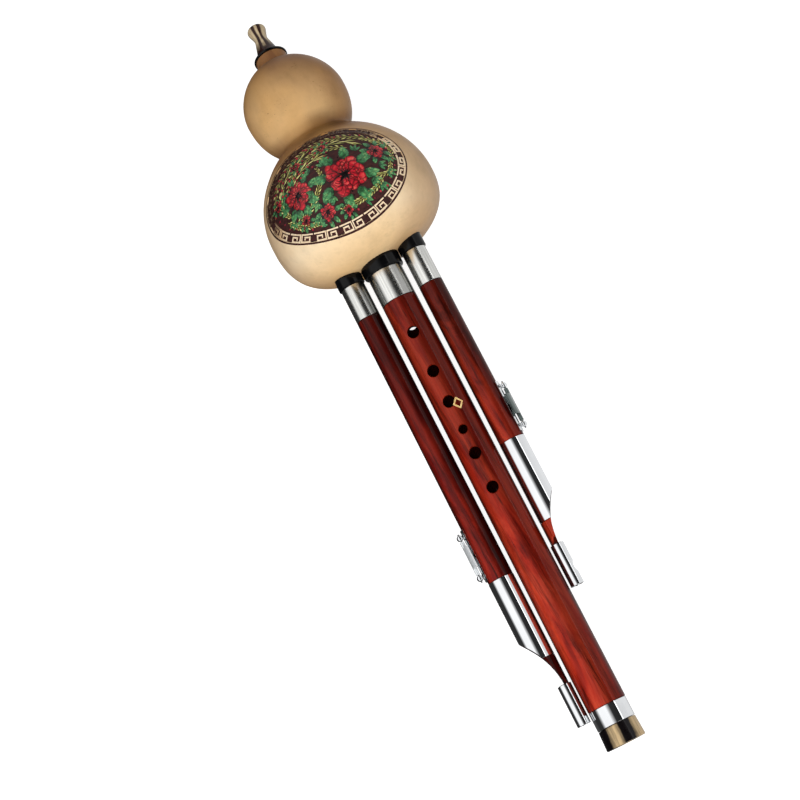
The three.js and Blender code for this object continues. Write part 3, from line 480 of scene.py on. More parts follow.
def lathe(profile, segments=72, x=0.0):
    """A closed [radius, y] profile, going up its outside, turned about the y axis."""
    count = len(profile)
    angles = np.arange(segments) * 2 * math.pi / segments
    verts = [(x + r * math.sin(a), y, r * math.cos(a)) for a in angles for r, y in profile]
    faces = []
    for s in range(segments):
        here, there = s * count, (s + 1) % segments * count
        for i in range(count):
            j = (i + 1) % count
            if profile[i][0] == 0 and profile[j][0] == 0:
                continue
            faces.append((here + i, there + i, there + j, here + j))
    return verts, faces


def ring(inner, outer, low, high):
    """The profile of a plain ring, or of a rod where its inner radius is 0."""
    return [(inner, low), (outer, low), (outer, high), (inner, high)]


def rounded(profile, size, steps=3, least=25):
    """The closed profile with its corners softened."""
    points, out = [np.array(p, float) for p in profile], []
    for before, here, after in zip(points[-1:] + points[:-1], points, points[1:] + points[:1]):
        back, on = before - here, after - here
        lengths = np.linalg.norm(back), np.linalg.norm(on)
        if here[0] == 0 or min(lengths) < 1e-6:
            out.append(here)
            continue
        bend = 180 - math.degrees(math.acos(np.clip(back @ on / lengths[0] / lengths[1], -1, 1)))
        if bend < least:
            out.append(here)
            continue
        cut = min(size, 0.45 * lengths[0], 0.45 * lengths[1])
        first, last = here + back / lengths[0] * cut, here + on / lengths[1] * cut
        for t in np.linspace(0, 1, steps + 1):
            out.append((1 - t) ** 2 * first + 2 * t * (1 - t) * here + t ** 2 * last)
    return [tuple(p) for p in out]


def spline(points, steps=6):
    """A smooth line through the points."""
    p = [np.array(q, float) for q in points]
    p = [2 * p[0] - p[1], *p, 2 * p[-1] - p[-2]]
    out = []
    for a, b, c, d in zip(p, p[1:], p[2:], p[3:]):
        for t in np.arange(steps) / steps:
            out.append(0.5 * (2 * b + (c - a) * t + (2 * a - 5 * b + 4 * c - d) * t ** 2
                              + (3 * b - a - 3 * c + d) * t ** 3))
    return [tuple(q) for q in out] + [tuple(p[-2])]


def pin(points, place, angle, segments=48, mirror=1):
    """A [radius, distance] profile turned about a line that leaves the y axis at that place and angle."""
    verts, faces = lathe(points, segments)
    c, s = math.cos(angle), math.sin(angle)
    turned_verts = [(mirror * (y * c - z * s), place - x, y * s + z * c) for x, y, z in verts]
    return turned_verts, faces if mirror > 0 else [f[::-1] for f in faces]


def prism(outline, low, high, mirror=1):
    """An outline of (x, y) points drawn out along z."""
    count = len(outline)
    verts = [(mirror * x, y, z) for z in (low, high) for x, y in outline]
    faces = [tuple(range(count))[::-1], tuple(range(count, 2 * count))]
    faces += [(i, (i + 1) % count, count + (i + 1) % count, count + i) for i in range(count)]
    area = sum(a[0] * b[1] - b[0] * a[1] for a, b in zip(outline, outline[1:] + outline[:1]))
    flip = (area < 0) != (mirror < 0)
    return verts, [f[::-1] for f in faces] if flip else faces


def soft_copy(node, material, body, width):
    """A CAD node rebuilt as a smooth piece with softened edges."""
    source = frame["nodes"][node]
    mesh = source.data.copy()
    work = bmesh.new()
    work.from_mesh(mesh)
    bmesh.ops.remove_doubles(work, verts=work.verts, dist=2e-6)
    bmesh.ops.dissolve_limit(work, angle_limit=math.radians(2), verts=work.verts, edges=work.edges)
    work.to_mesh(mesh)
    work.free()
    piece = add(node + "_soft", mesh, material, body, Matrix(), [node])
    bevel = piece.modifiers.new("soft", "BEVEL")
    bevel.width, bevel.segments, bevel.limit_method = width * MM, 2, "ANGLE"
    bevel.angle_limit = math.radians(CREASE)


# Gourd
def oval(distance, reach, radius, power):
    share = np.clip(np.abs(distance) / reach, 0, 1)
    return radius * (1 - share ** power) ** (1 / power)


def gourd_radius(y, inset=SKIN_INSET):
    y = np.asarray(y, float)
    below = oval(y - LOWER_Y, LOWER_DEPTH - inset, LOWER_R - inset, LOWER_POWER)
    lower = np.where(y < LOWER_Y, below, oval(y - LOWER_Y, LOWER_RISE - inset, LOWER_R - inset, TOP_POWER))
    drop = oval(y - UPPER_Y, UPPER_DROP - inset, UPPER_R - inset, UPPER_POWER)
    upper = np.where(y < UPPER_Y, drop, oval(y - UPPER_Y, UPPER_RISE - inset, UPPER_R - inset, TOP_POWER))
    bulbs = (lower ** WAIST_POWER + upper ** WAIST_POWER) ** (1 / WAIST_POWER)
    neck = np.where(y < UPPER_Y, 0, NECK_R - inset)
    return (bulbs ** NECK_POWER + neck ** NECK_POWER) ** (1 / NECK_POWER)


def spine(y):
    beyond = np.maximum(0, y - BEND_START)
    share = beyond / (GOURD_TOP - BEND_START)
    return NECK_SHIFT * share * (2 - share), -(beyond ** 2) / (2 * BEND_R)


def foot_slope(y):
    return FOOT_LEAN * np.maximum(0, (LOWER_Y - y) / LOWER_DEPTH)


# The medallion's oval, in a plane that faces out of the lower bulb at this latitude
OVAL_LATITUDE = math.radians(12)
OUT = np.array([0, math.sin(OVAL_LATITUDE), math.cos(OVAL_LATITUDE)])
ACROSS = np.array([1.0, 0, 0])
UP = np.cross(OUT, ACROSS)
OVAL_CENTRE, OVAL_TURN = (-3.9, -1.2), math.radians(-3)
OVAL_A, OVAL_TOP, OVAL_BOTTOM = 40.3, 28.0, 31.1
BAND = 3.9
GROUND_DEPTH = 0.7


def bare_skin(points):
    """How far each point is outside the gourd's skin."""
    x, y, z = points.T
    level, rounds = y.copy(), 6
    for _ in range(rounds):
        level = y - x * foot_slope(level)
    sx, sz = spine(level)
    return np.hypot(x - sx, z - sz) - gourd_radius(level)


def outward(points):
    """The directions straight out of the lower bulb at points on it."""
    away = (points - LOWER_CENTRE) / np.array([LOWER_R, LOWER_RISE, LOWER_R]) ** 2
    return away / np.linalg.norm(away, axis=-1, keepdims=True)


def on_gourd(u, v, lift):
    """Points of the medallion's own plane (u, v, in mm) carried to the skin, and lifted off it."""
    u, v, lift = np.broadcast_arrays(*(np.asarray(a, float) for a in (u, v, lift)))
    c, s = math.cos(OVAL_TURN), math.sin(OVAL_TURN)
    a, b = OVAL_CENTRE[0] + u * c - v * s, OVAL_CENTRE[1] + u * s + v * c
    start = LOWER_CENTRE + a[..., None] * ACROSS + b[..., None] * UP
    flat = start.reshape(-1, 3)
    farthest, halvings = 60.0, 30
    low, high = np.zeros(len(flat)), np.full(len(flat), farthest)
    for _ in range(halvings):
        middle = (low + high) / 2
        outside = bare_skin(flat + middle[:, None] * OUT) > 0
        high, low = np.where(outside, middle, high), np.where(outside, low, middle)
    found = flat + low[:, None] * OUT
    return (found + outward(found) * lift.reshape(-1, 1)).reshape(*u.shape, 3)


def oval_place(points):
    """How far out in the medallion's oval each point of the gourd is: 1 at its edge."""
    relative = points - LOWER_CENTRE
    a, b = relative @ ACROSS - OVAL_CENTRE[0], relative @ UP - OVAL_CENTRE[1]
    c, s = math.cos(OVAL_TURN), math.sin(OVAL_TURN)
    u, v = a * c + b * s, -a * s + b * c
    share = np.hypot(u / OVAL_A, v / np.where(v > 0, OVAL_TOP, OVAL_BOTTOM))
    return np.where(relative @ OUT > 0, share, 9.0)


def gourd_skin():
    """The gourd: a fine outer skin with the medallion's recess, and a plain inner skin."""
    fine_from, fine_to, fine_step, coarse_step = 288, 360, 0.55, 1.3
    recess_edge, recess_depth = 0.012, GROUND_DEPTH + 0.5
    inner_top = GOURD_TOP - 12
    t = np.linspace(0, math.pi / 2, 2000)
    foot = LOWER_Y - (LOWER_DEPTH - SKIN_INSET) * np.cos(t)
    y = np.concatenate([foot, np.linspace(LOWER_Y, GOURD_TOP, 3000)[1:]])
    r = gourd_radius(y)
    length = np.concatenate([[0], np.cumsum(np.hypot(np.diff(y), np.diff(r)))])
    step = np.where((y > fine_from) & (y < fine_to), fine_step, coarse_step)
    count = np.concatenate([[0], np.cumsum(np.diff(length) / step[1:])])
    rows_y = np.interp(np.arange(1, int(count[-1]) + 1), count, y)
    rows_y[-1] = GOURD_TOP
    # fine columns across the front, coarse ones around the back
    angles = np.radians(np.concatenate([np.arange(-68, 68.1, 0.62), np.arange(71, 290, 3.0)]))
    verts = gourd_ring(rows_y, angles, SKIN_INSET)
    inside = np.clip((1.0 - oval_place(verts.reshape(-1, 3))) / recess_edge, 0, 1).reshape(verts.shape[:2])
    verts = verts - outward(verts) * (inside * recess_depth)[..., None]
    inner_y = LOWER_Y - (LOWER_DEPTH - WALL) * np.cos(np.linspace(0.05, math.pi / 2, 16))
    inner_y = np.concatenate([inner_y, np.linspace(LOWER_Y, inner_top, 32)[1:]])
    inner = gourd_ring(inner_y, np.radians(np.arange(0, 360, 6)), WALL)
    outer_poles = [(0, LOWER_Y - LOWER_DEPTH + SKIN_INSET, 0), neck_point(GOURD_TOP)]
    inner_poles = [(0, LOWER_Y - LOWER_DEPTH + WALL, 0), neck_point(inner_top)]
    outer_verts, outer_faces = skin_faces(verts, 0, False, outer_poles)
    inner_verts, inner_faces = skin_faces(inner, len(outer_verts), True, inner_poles)
    points = np.array(outer_verts + inner_verts)
    # the small flat on which it rests
    tilt = np.array(INST.to_3x3())
    world_z = points @ tilt[2] + FOOT.z / MM
    points -= np.outer(np.minimum(0, world_z), tilt[2])
    return points, outer_faces + inner_faces


def neck_point(y):
    x, z = spine(np.array(y))
    return float(x), y, float(z)


def gourd_ring(levels, angles, inset):
    """Rings of points about the gourd's spine, one row for each level."""
    radius = gourd_radius(levels, inset)[:, None]
    sx, sz = spine(levels)
    tilt = np.arctan(np.maximum(0, levels - BEND_START) / BEND_R)[:, None]
    across, out = np.sin(angles)[None], np.cos(angles)[None]
    x = radius * across + sx[:, None]
    y = levels[:, None] + radius * out * np.sin(tilt)
    z = radius * out * np.cos(tilt) + sz[:, None]
    return np.stack([x, y + x * foot_slope(levels)[:, None], z], 2)


def skin_faces(grid, offset, inward, poles):
    rows, columns = grid.shape[:2]
    verts = [tuple(p) for p in grid.reshape(-1, 3)] + list(poles)
    faces = []
    for i in range(rows - 1):
        for j in range(columns):
            k = (j + 1) % columns
            faces.append((i * columns + j, i * columns + k, (i + 1) * columns + k, (i + 1) * columns + j))
    bottom, top = rows * columns, rows * columns + 1
    last = (rows - 1) * columns
    for j in range(columns):
        k = (j + 1) % columns
        faces += [(bottom, k, j), (last + j, last + k, top)]
    faces = [tuple(v + offset for v in (f[::-1] if inward else f)) for f in faces]
    return verts, faces


HORN_OUTLINE = [(7.2, 1.95), (6.0, 5.8), (4.75, 10.9), (3.85, 15.0), (4.3, 18.0), (5.1, 20.6), (5.33, 22.2),
                (4.9, 23.4), (3.9, 24.1), (2.9, 24.2)]
BLOW_HOLE = [(2.35, 24.0), (2.2, 23.5), (2.2, -11.9), (4.5, -11.9), (4.5, 1.95)]


def build_gourd():
    hole_foot, main_hole_r, drone_hole_r = 270, 10.25, 6.85
    holes = [lathe(ring(0, main_hole_r, hole_foot, LOWER_Y))]
    holes += [lathe(ring(0, drone_hole_r, hole_foot, LOWER_Y), x=d["side"] * SPACING)
              for d in SIDES.values()]
    verts, faces = lathe(ring(0, NECK_BORE_R, -20, 3), 48)
    neck = np.array(INST.inverted() @ NECK)
    bore = np.array(verts) @ neck[:3, :3].T + neck[:3, 3] / MM, faces
    add("gourd_skin", gourd_skin(), "gourd", "gourd", replaces=["gourd_shell"],
        cutters=[*holes, bore], crease=50)
    collar = rounded(ring(NECK_BORE_R, 9.75, SEAT_GAP, 1.65), 0.6, 5)
    add("collar_ring", lathe(collar, 96), "lacquer", "gourd", NECK, ["mouthpiece_collar"])
    horn = lathe([*spline(HORN_OUTLINE), *BLOW_HOLE])
    add("mouthpiece_horn", horn, "mouthpiece", "gourd", NECK, ["mouthpiece"])


def build_socket(name, foot, x, skin, radius, spigot, bore, mouth):
    """A lacquered collar cut to the gourd's skin, and the stem inside it that holds the tenon."""
    collar_top, lip, floor = 312, 0.2, 1.5
    collar = rounded(ring(mouth, radius, foot, collar_top), 0.7, 4)
    add(name + "_collar", lathe(collar, 96, x=x), "lacquer", "gourd", cutters=[skin],
        replaces=[name])
    top = foot + TENON_REACH
    stem = [(mouth, foot + lip), (spigot, foot + lip), (spigot, top), (bore, top), (bore, foot + floor),
            (mouth, foot + floor)]
    add(name + "_stem", lathe(stem, 64, x=x), "lacquer", "gourd")


def build_sockets():
    low, high = 284.7, 330
    gourd = gourd_ring(np.linspace(low, high, 60), np.radians(np.arange(0, 360, 4)), SKIN_INSET + 0.05)
    skin = skin_faces(gourd, 0, False, [(0, low - 0.1, 0), (0, high, 0)])
    build_socket("main_socket", MAIN_FOOT, 0.0, skin, radius=11.35, spigot=10.0, bore=8.8, mouth=7.3)
    for name, d in SIDES.items():
        build_socket(f"{name}_drone_socket", d["socket"], d["side"] * SPACING, skin, radius=7.45, spigot=6.6,
                     bore=5.6, mouth=4.5)


# Medallion
class Relief:
    """Patches of carved relief that follow the gourd, gathered into one mesh."""

    def __init__(self):
        self.verts, self.faces, self.tone, self.edge = [], [], [], []

    def patch(self, u, v, lift, tone, edge):
        """A grid of points, with the tone of its paint and how far it lies in an outline's groove."""
        rows, columns = u.shape
        first = len(self.verts)
        du, dv = np.gradient(u), np.gradient(v)
        flip = (du[0] * dv[1] - du[1] * dv[0]).sum() < 0
        self.verts += [tuple(p) for p in on_gourd(u, v, lift).reshape(-1, 3)]
        self.tone += np.broadcast_to(tone, u.shape).ravel().tolist()
        self.edge += np.broadcast_to(edge, u.shape).ravel().tolist()
        for i in range(rows - 1):
            for j in range(columns - 1):
                a = first + i * columns + j
                face = (a, a + columns, a + columns + 1, a + 1)
                self.faces.append(face[::-1] if flip else face)

    def leaf(self, at, angle, length, width, base=-0.62, height=0.26, bend=0.0, rib=0.6, tip=0.8, wave=0.0,
             grid=(13, 13), outline=0.55, glow=0.0, tilt=0.0):
        """A pointed leaf or petal that starts at a point; wave makes its rim toothed, glow lightens it
        and tilt lifts one side of it over the next."""
        t, s = np.meshgrid(np.linspace(0, 1, grid[0]), np.linspace(-1, 1, grid[1]), indexing="ij")
        half = width / 2 * np.sin(math.pi * t ** tip) ** 0.75 * (1 + wave * np.sin(t * 34))
        heading = angle + bend * t
        du = np.cumsum(np.cos(heading), axis=0) * length / grid[0]
        dv = np.cumsum(np.sin(heading), axis=0) * length / grid[0]
        u = at[0] + du - np.sin(heading) * half * s
        v = at[1] + dv + np.cos(heading) * half * s
        dome = (1 - s ** 2) ** 0.6 * np.sin(math.pi * np.clip(t, 0.03, 0.97)) ** 0.4
        groove = rib * np.exp(-(s / 0.16) ** 2)
        lift = base + height * dome * (1 - 0.5 * groove) + tilt * s
        tone = 0.15 + glow + 0.75 * t * dome + 0.12 * np.sin(t * 17 + s * 3)
        near_rim = np.clip((np.abs(s) * half - (half - outline)) / (0.6 * outline), 0, 1)
        edge = np.clip(near_rim + groove * (t < 0.85) + np.clip(t - 0.9, 0, 1) * 9, 0, 1)
        self.patch(u, v, lift, tone, edge)

    def bead(self, at, radius, base=-0.65, height=0.3, tone=0.6, edge=0.0):
        t, s = np.meshgrid(np.linspace(0, 1, 5), np.linspace(0, 2 * math.pi, 13), indexing="ij")
        u, v = at[0] + radius * t * np.cos(s), at[1] + radius * t * np.sin(s)
        self.patch(u, v, base + height * np.sqrt(np.clip(1 - t ** 2, 0, 1)), tone + 0.4 * (1 - t),
                   np.maximum(edge, 0.9 * t ** 6))

    def stem(self, points, width, base=-0.66, height=0.16):
        """A raised line through the points."""
        line = np.array(spline(points, 8))
        tangent = np.gradient(line, axis=0)
        tangent /= np.linalg.norm(tangent, axis=1)[:, None]
        across = np.linspace(-1, 1, 5)[None]
        u = line[:, :1] - tangent[:, 1:] * width / 2 * across
        v = line[:, 1:] + tangent[:, :1] * width / 2 * across
        lift = base + height * np.sqrt(1 - across ** 2 * 0.98) + 0 * u
        self.patch(u, v, lift, 0.5, np.abs(across) ** 6 + 0 * u)

    def put(self, name, material):
        mesh = bare_mesh(name, self.verts, self.faces)
        for key, values in (("tone", self.tone), ("edge", self.edge)):
            layer = mesh.attributes.new(key, "FLOAT", "POINT")
            layer.data.foreach_set("value", np.array(values, np.float32))
        add(name, mesh, material, "gourd", crease=70)


def oval_point(angle, inward):
    """A point inside the oval's edge by so many millimetres, at that angle about its middle."""
    v_half = OVAL_TOP if math.sin(angle) > 0 else OVAL_BOTTOM
    return (OVAL_A - inward) * math.cos(angle), (v_half - inward) * math.sin(angle)


# The rings of a flower's petals: how many, and their length and width as shares
PEONY = ((9, 1.0, 0.62), (8, 0.8, 0.6), (7, 0.6, 0.6), (6, 0.42, 0.6), (4, 0.24, 0.62))


def rosette(petals, at, radius, start_angle):
    """A full flower of ruffled petals, ring above ring, seen from above."""
    # a dark disc under the petals: painted shadow round the flower
    petals.bead(at, radius * 1.04, base=-0.68, height=0.03, edge=1.0)
    for level, (count, share, width) in enumerate(PEONY):
        for i in range(count):
            angle = start_angle + level * 0.37 + i * 2 * math.pi / count + 0.12 * math.sin(i * 2.7 + level)
            start = (at[0] + 0.06 * radius * math.cos(angle), at[1] + 0.06 * radius * math.sin(angle))
            length = radius * share * (0.88 + 0.12 * math.sin(i * 2.4 + level))
            petals.leaf(start, angle, length, radius * width * share, base=-0.58 + 0.055 * level,
                        height=0.15, rib=0.25, tip=2.0, wave=0.06, outline=0.3 + 0.03 * radius,
                        glow=0.12 * math.sin(i * 1.9), tilt=0.15)


def frond(fronds, points, length, count, lean=0.7):
    """A curved rib with leaflets in pairs, shorter towards its tip."""
    fronds.stem(points, 0.4)
    line = np.array(spline(points, 40))
    reach = np.concatenate([[0], np.cumsum(np.linalg.norm(np.diff(line, axis=0), axis=1))])
    for i in range(count):
        share = (i + 0.5) / count
        here = np.array([np.interp(share * reach[-1], reach, line[:, k]) for k in (0, 1)])
        ahead = np.array([np.interp(min(1, share + 0.02) * reach[-1], reach, line[:, k]) for k in (0, 1)])
        heading = math.atan2(*(ahead - here)[::-1])
        size = length * (0.45 + 0.55 * math.sin(math.pi * (0.15 + 0.8 * share)))
        for side in (1, -1):
            glow = 0.16 + 0.24 * math.sin(i * 2.3 + side)
            fronds.leaf(here, heading + side * lean, size, 0.5 + size * 0.13, base=-0.64, height=0.2,
                        bend=-side * 0.5, rib=0.0, grid=(7, 7), outline=0.22, glow=glow)


def blades(fronds, points, count, length, width):
    """Long slender leaves that run along a line and fan out a little."""
    line = np.array(spline(points, 40))
    for i in range(count):
        k = int((i + 0.3) / count * (len(line) - 12))
        step = line[k + 8] - line[k]
        sway = math.sin(i * 2.1)
        at = line[k] + np.array([-step[1], step[0]]) / np.hypot(*step) * 1.9 * sway
        heading = math.atan2(step[1], step[0]) - 0.16 * sway
        fronds.leaf(at, heading, length * (0.85 + 0.15 * math.cos(i * 1.7)), width, base=-0.64, height=0.24,
                    bend=0.3, rib=0.0, tip=0.9, grid=(14, 9), outline=0.28,
                    glow=0.2 + 0.25 * math.sin(i * 2.9), tilt=0.08)


def build_medallion():
    rings, columns = 46, 180
    t = np.linspace(0, 1, rings)[:, None]
    angle = np.linspace(0, 2 * math.pi, columns + 1)[None, :]
    half = np.where(np.sin(angle) > 0, OVAL_TOP, OVAL_BOTTOM)
    u, v = OVAL_A * t * np.cos(angle), half * t * np.sin(angle)
    ground = Relief()
    ripple = 0.03 * np.sin(u * 5.1) * np.sin(v * 4.3 + u)
    ground.patch(u, v, -GROUND_DEPTH + ripple, 0.5, 0.0)
    ground.put("medallion_ground", "ground")
    # a thin raised line outside the band and another inside it
    rim, rim_width = Relief(), 0.72
    for inward, base in ((-0.5, -0.02), (BAND + 0.1, -GROUND_DEPTH)):
        across = np.linspace(0, rim_width, 5)[:, None]
        ru = (OVAL_A - inward - across) * np.cos(angle)
        rv = (half - inward - across) * np.sin(angle)
        rise = np.sin(np.linspace(0, math.pi, 5))[:, None] * 0.06 + 0 * ru
        rim.patch(ru, rv, base + rise, 0.5, 0.0)
    rim.put("medallion_rim", "ground")
    build_meander()
    build_garden()


# The meander is pale below, with painted shade that darkens it about this angle, in radians about the oval's
# middle
PALE_TONE, SHADED_TONE, SHADED_MIDDLE, MEANDER_LIFT = 0.82, 0.14, 2.0, -0.22


def build_meander():
    """A key pattern of square hooks, turned alternately, around the band."""
    meander = Relief()
    table = np.linspace(0, 2 * math.pi, 2001)
    middle = np.array([oval_point(a, BAND / 2) for a in table])
    reach = np.concatenate([[0], np.cumsum(np.linalg.norm(np.diff(middle, axis=0), axis=1))])
    count = 28
    width = reach[-1] / count
    hook = [(0.09, 0.14), (0.93, 0.14), (0.93, 0.86), (0.3, 0.86), (0.3, 0.42), (0.67, 0.42), (0.67, 0.62)]
    thick = 0.27
    for unit in range(count):
        line = [(1 - a, b) if unit % 2 else (a, b) for a, b in hook]
        for (a0, b0), (a1, b1) in zip(line, line[1:]):
            steps = max(2, int(abs(a1 - a0) * 14))
            t = np.linspace(0, 1, steps + 1)[:, None]
            s = np.array([-1.0, -0.999, 0, 0.999, 1.0])[None]
            du, db = (a1 - a0) * width, (b1 - b0) * BAND
            length = math.hypot(du, db)
            du, db = du / length, db / length
            ends = thick * 0.98 * (2 * t - 1)
            a = (a0 + (a1 - a0) * t) * width + du * ends - db * thick * s
            b = (b0 + (b1 - b0) * t) * BAND + db * ends + du * thick * s
            place = np.interp((unit * width + a) % reach[-1], reach, table)
            v_half = np.where(np.sin(place) > 0, OVAL_TOP, OVAL_BOTTOM)
            u, v = (OVAL_A - BAND + b) * np.cos(place), (v_half - BAND + b) * np.sin(place)
            top = MEANDER_LIFT + 0.04 * (1 - s ** 2)
            lift = np.where(np.abs(s) > 0.9995, -GROUND_DEPTH, top) + 0 * u
            # painted shade over the border about SHADED_MIDDLE
            shaded = np.clip(2.5 * np.cos(place - SHADED_MIDDLE) + 0.2, 0, 1)
            tone = PALE_TONE - (PALE_TONE - SHADED_TONE) * shaded + 0 * u
            meander.patch(u, v, lift, tone, 0.0)
    meander.put("meander_border", "meander")


FLOWERS = [((8.0, -6.0), 11.8, 0.1), ((-19.0, -3.0), 8.0, 0.5), ((27.5, 3.0), 4.6, 0.9),
           ((-8.0, -19.5), 4.4, 0.2), ((2.5, -23.0), 2.6, 0.3), ((-20.5, -16.5), 2.8, 0.8),
           ((-31.5, 1.0), 2.5, 0.2), ((-14.0, 14.0), 2.7, 0.6), ((2.0, 16.5), 2.5, 0.4)]
CURVES = [
    ([(34, -3), (35, 4), (31, 10), (24, 13)], 3.2, 11),
    ([(-27, -10), (-29.5, -4), (-29, 3), (-25, 8)], 3.4, 12),
    ([(-26, -14), (-18, -14.5), (-10, -9), (-4, -1), (-4.5, 5)], 3.4, 17),
    ([(26, -13), (19, -18), (9, -21.2), (-1, -21.8)], 3.4, 16),
    ([(-30, -10), (-24, -17.5), (-15, -21.8)], 3.2, 12),
    ([(33, -4), (30, -10), (24, -11), (21, -7)], 3.0, 11),
]
SPRAYS = [((-11, -5), 3.7, 6.0), ((-10, -12), 3.3, 6.5), ((-22, -9), 4.4, 5.5), ((-3, -13), 4.6, 5.0),
          ((20, -12), 5.4, 6.0), ((26, -5), 5.9, 5.0), ((0, 4), 1.9, 5.5), ((-29, -3), 1.2, 5.0),
          ((17, 6), 1.0, 5.0), ((-8, 5), 2.6, 4.6), ((33, -1), 5.0, 4.4), ((2, -19), 5.9, 5.0),
          ((-14, -19), 3.6, 4.4), ((15, -17), 5.2, 4.6), ((20, 1), 0.5, 5.0), ((-2, -4), 2.9, 4.6),
          ((29, -9), 5.5, 5.5), ((24, -15), 5.0, 5.5), ((12, -21), 5.9, 5.0), ((-15, -23), 0.3, 4.6),
          ((-26, -12), 4.0, 4.6), ((34, 6), 1.6, 4.4)]


def build_garden():
    """Peonies, leaves, curling fern fronds and berries, carved inside the border."""
    petals, leaves, fronds, berries = Relief(), Relief(), Relief(), Relief()
    sepals, border_berries, loose_berries = 8, 40, 46
    # steps that scatter the loose berries evenly
    step_in, step_round = 0.7548777, 0.5698403
    for at, radius, start_angle in FLOWERS:
        for i in range(sepals):
            angle = start_angle + 0.35 + i * 2 * math.pi / sepals
            start = (at[0] + radius * 0.72 * math.cos(angle), at[1] + radius * 0.72 * math.sin(angle))
            leaves.leaf(start, angle + 0.25 * math.sin(i * 3), radius * 0.7 + 1.8, radius * 0.4 + 1.2,
                        bend=0.35, wave=0.07, outline=0.5)
        rosette(petals, at, radius, start_angle)
    # fronds and slender leaves that sweep over the upper half, one inside the other
    for lane, (start, stop) in enumerate(((16, 174), (24, 168), (40, 172), (56, 160))):
        wide, tall = 33.5 - 6.0 * lane, 21.0 - 4.3 * lane
        angles = np.radians(np.linspace(start, stop, 7))
        line = [(wide * math.cos(a) - 0.9 * lane, tall * math.sin(a) + 0.9 * lane) for a in angles]
        if lane % 2:
            blades(fronds, line, 26 - 5 * lane, 10.0, 1.2)
        else:
            frond(fronds, line, 4.4, 26 - 5 * lane, 0.75)
    for points, length, count in CURVES:
        frond(fronds, points, length, count)
    for at, angle, length in SPRAYS:
        for spread in (-0.6, 0.0, 0.6):
            leaves.leaf(at, angle + spread, length, length * 0.42, base=-0.64, height=0.22, wave=0.06,
                        outline=0.42, glow=0.1 * spread)
    for i in range(border_berries):
        at = oval_point(i * 2 * math.pi / border_berries + 0.05, BAND + 1.7 + 0.5 * math.sin(i * 2.1))
        berries.bead(at, 0.6 + 0.2 * math.sin(i * 1.3), tone=0.3 + 0.25 * math.sin(i * 1.7))
    for i in range(loose_berries):
        share = i * step_in % 1
        angle = 1.25 + 1.75 * (i * step_round % 1)
        berries.bead(oval_point(angle, BAND + 2.5 + 15 * share), 0.95 - 0.3 * share, base=-0.42, height=0.26,
                     tone=0.3 + 0.2 * math.sin(i * 2.0))
    fronds.put("medallion_fronds", "frond")
    leaves.put("medallion_leaves", "leaf")
    berries.put("medallion_berries", "berry")
    petals.put("medallion_petals", "petal")


# Melody pipe
FINGER_HOLES = [(146.3, 3.3), (166.4, 3.3), (180.5, 2.5), (197.1, 3.3), (215.5, 3.3), (239.2, 3.3)]
BACK_HOLES = [(247.6, 3.3, -98), (98.0, 3.0, -90), (120.0, 3.0, -90)]


def pipe_radius(y):
    return PIPE_FOOT_R - (PIPE_FOOT_R - PIPE_TOP_R) * (y - PIPE_FOOT_Y) / (PIPE_TOP_Y - PIPE_FOOT_Y)


def hole_cutter(radius, place, angle, surface):
    """A drill with a slight countersink where it leaves the wood."""
    start, end = 2, surface + 4
    profile = [(0, start), (radius, start), (radius, surface - 0.5), (radius + 0.35, surface - 0.1),
               (radius + 0.6, surface + 1), (radius + 0.6, end), (0, end)]
    return pin(profile, place, math.radians(angle))


def build_melody_pipe():
    foot, foot_spigot, top, top_spigot, back_surface = 2.95, 8.6, 276.7, 8.7, 10.2
    wood = rounded([(PIPE_BORE_R, foot), (foot_spigot, foot), (foot_spigot, PIPE_FOOT_Y),
                    (PIPE_FOOT_R, PIPE_FOOT_Y), (PIPE_TOP_R, PIPE_TOP_Y), (top_spigot, PIPE_TOP_Y),
                    (top_spigot, top), (PIPE_BORE_R, top)], 0.25)
    cutters = [hole_cutter(radius, place, 90, pipe_radius(place)) for place, radius in FINGER_HOLES]
    cutters += [hole_cutter(radius, place, angle, back_surface) for place, radius, angle in BACK_HOLES]
    add("melody_pipe_wood", lathe(wood, 96), "main_wood", "melody_pipe", MAIN, ["main_pipe"],
        cutters=cutters)
    cap_foot, cap_floor, cap_top, cap_foot_r, cap_top_r, cap_inner = 0.02, 2.7, 10.65, 10.85, 10.35, 8.85
    cap = rounded([(PIPE_BORE_R, cap_foot), (cap_foot_r, cap_foot), (cap_top_r, cap_top),
                   (cap_inner, cap_top), (cap_inner, cap_floor), (PIPE_BORE_R, cap_floor)], 0.55, 4)
    add("foot_cap_horn", lathe(cap, 96), "foot_cap", "melody_pipe", MAIN, ["main_foot_cap"])
    foot_ring = rounded(ring(cap_inner, 10.45, cap_top + SEAT_GAP, PIPE_FOOT_Y - SEAT_GAP), 0.3)
    add("foot_ring_chrome", lathe(foot_ring, 96), "chrome", "melody_pipe", MAIN, ["main_foot_ring"])
    sleeve = sleeve_profile(PIPE_TOP_R, 8.95, 7.0, 6.1, PIPE_TOP_Y + SEAT_GAP, MAIN_FOOT)
    add("melody_top_sleeve", lathe(sleeve, 96), "main_nickel", "melody_pipe", MAIN, ["main_sleeve"])
    build_lozenge()


def sleeve_profile(radius, inner, tenon, tenon_inner, foot, socket):
    """A top sleeve, with the narrower tenon that goes up into the socket."""
    top, end = socket - SEAT_GAP, socket + TENON_REACH
    floor = top - 1.2
    return rounded([(inner, foot), (radius, foot), (radius, top), (tenon, top), (tenon, end),
                    (tenon_inner, end), (tenon_inner, floor), (inner, floor)], 0.3)


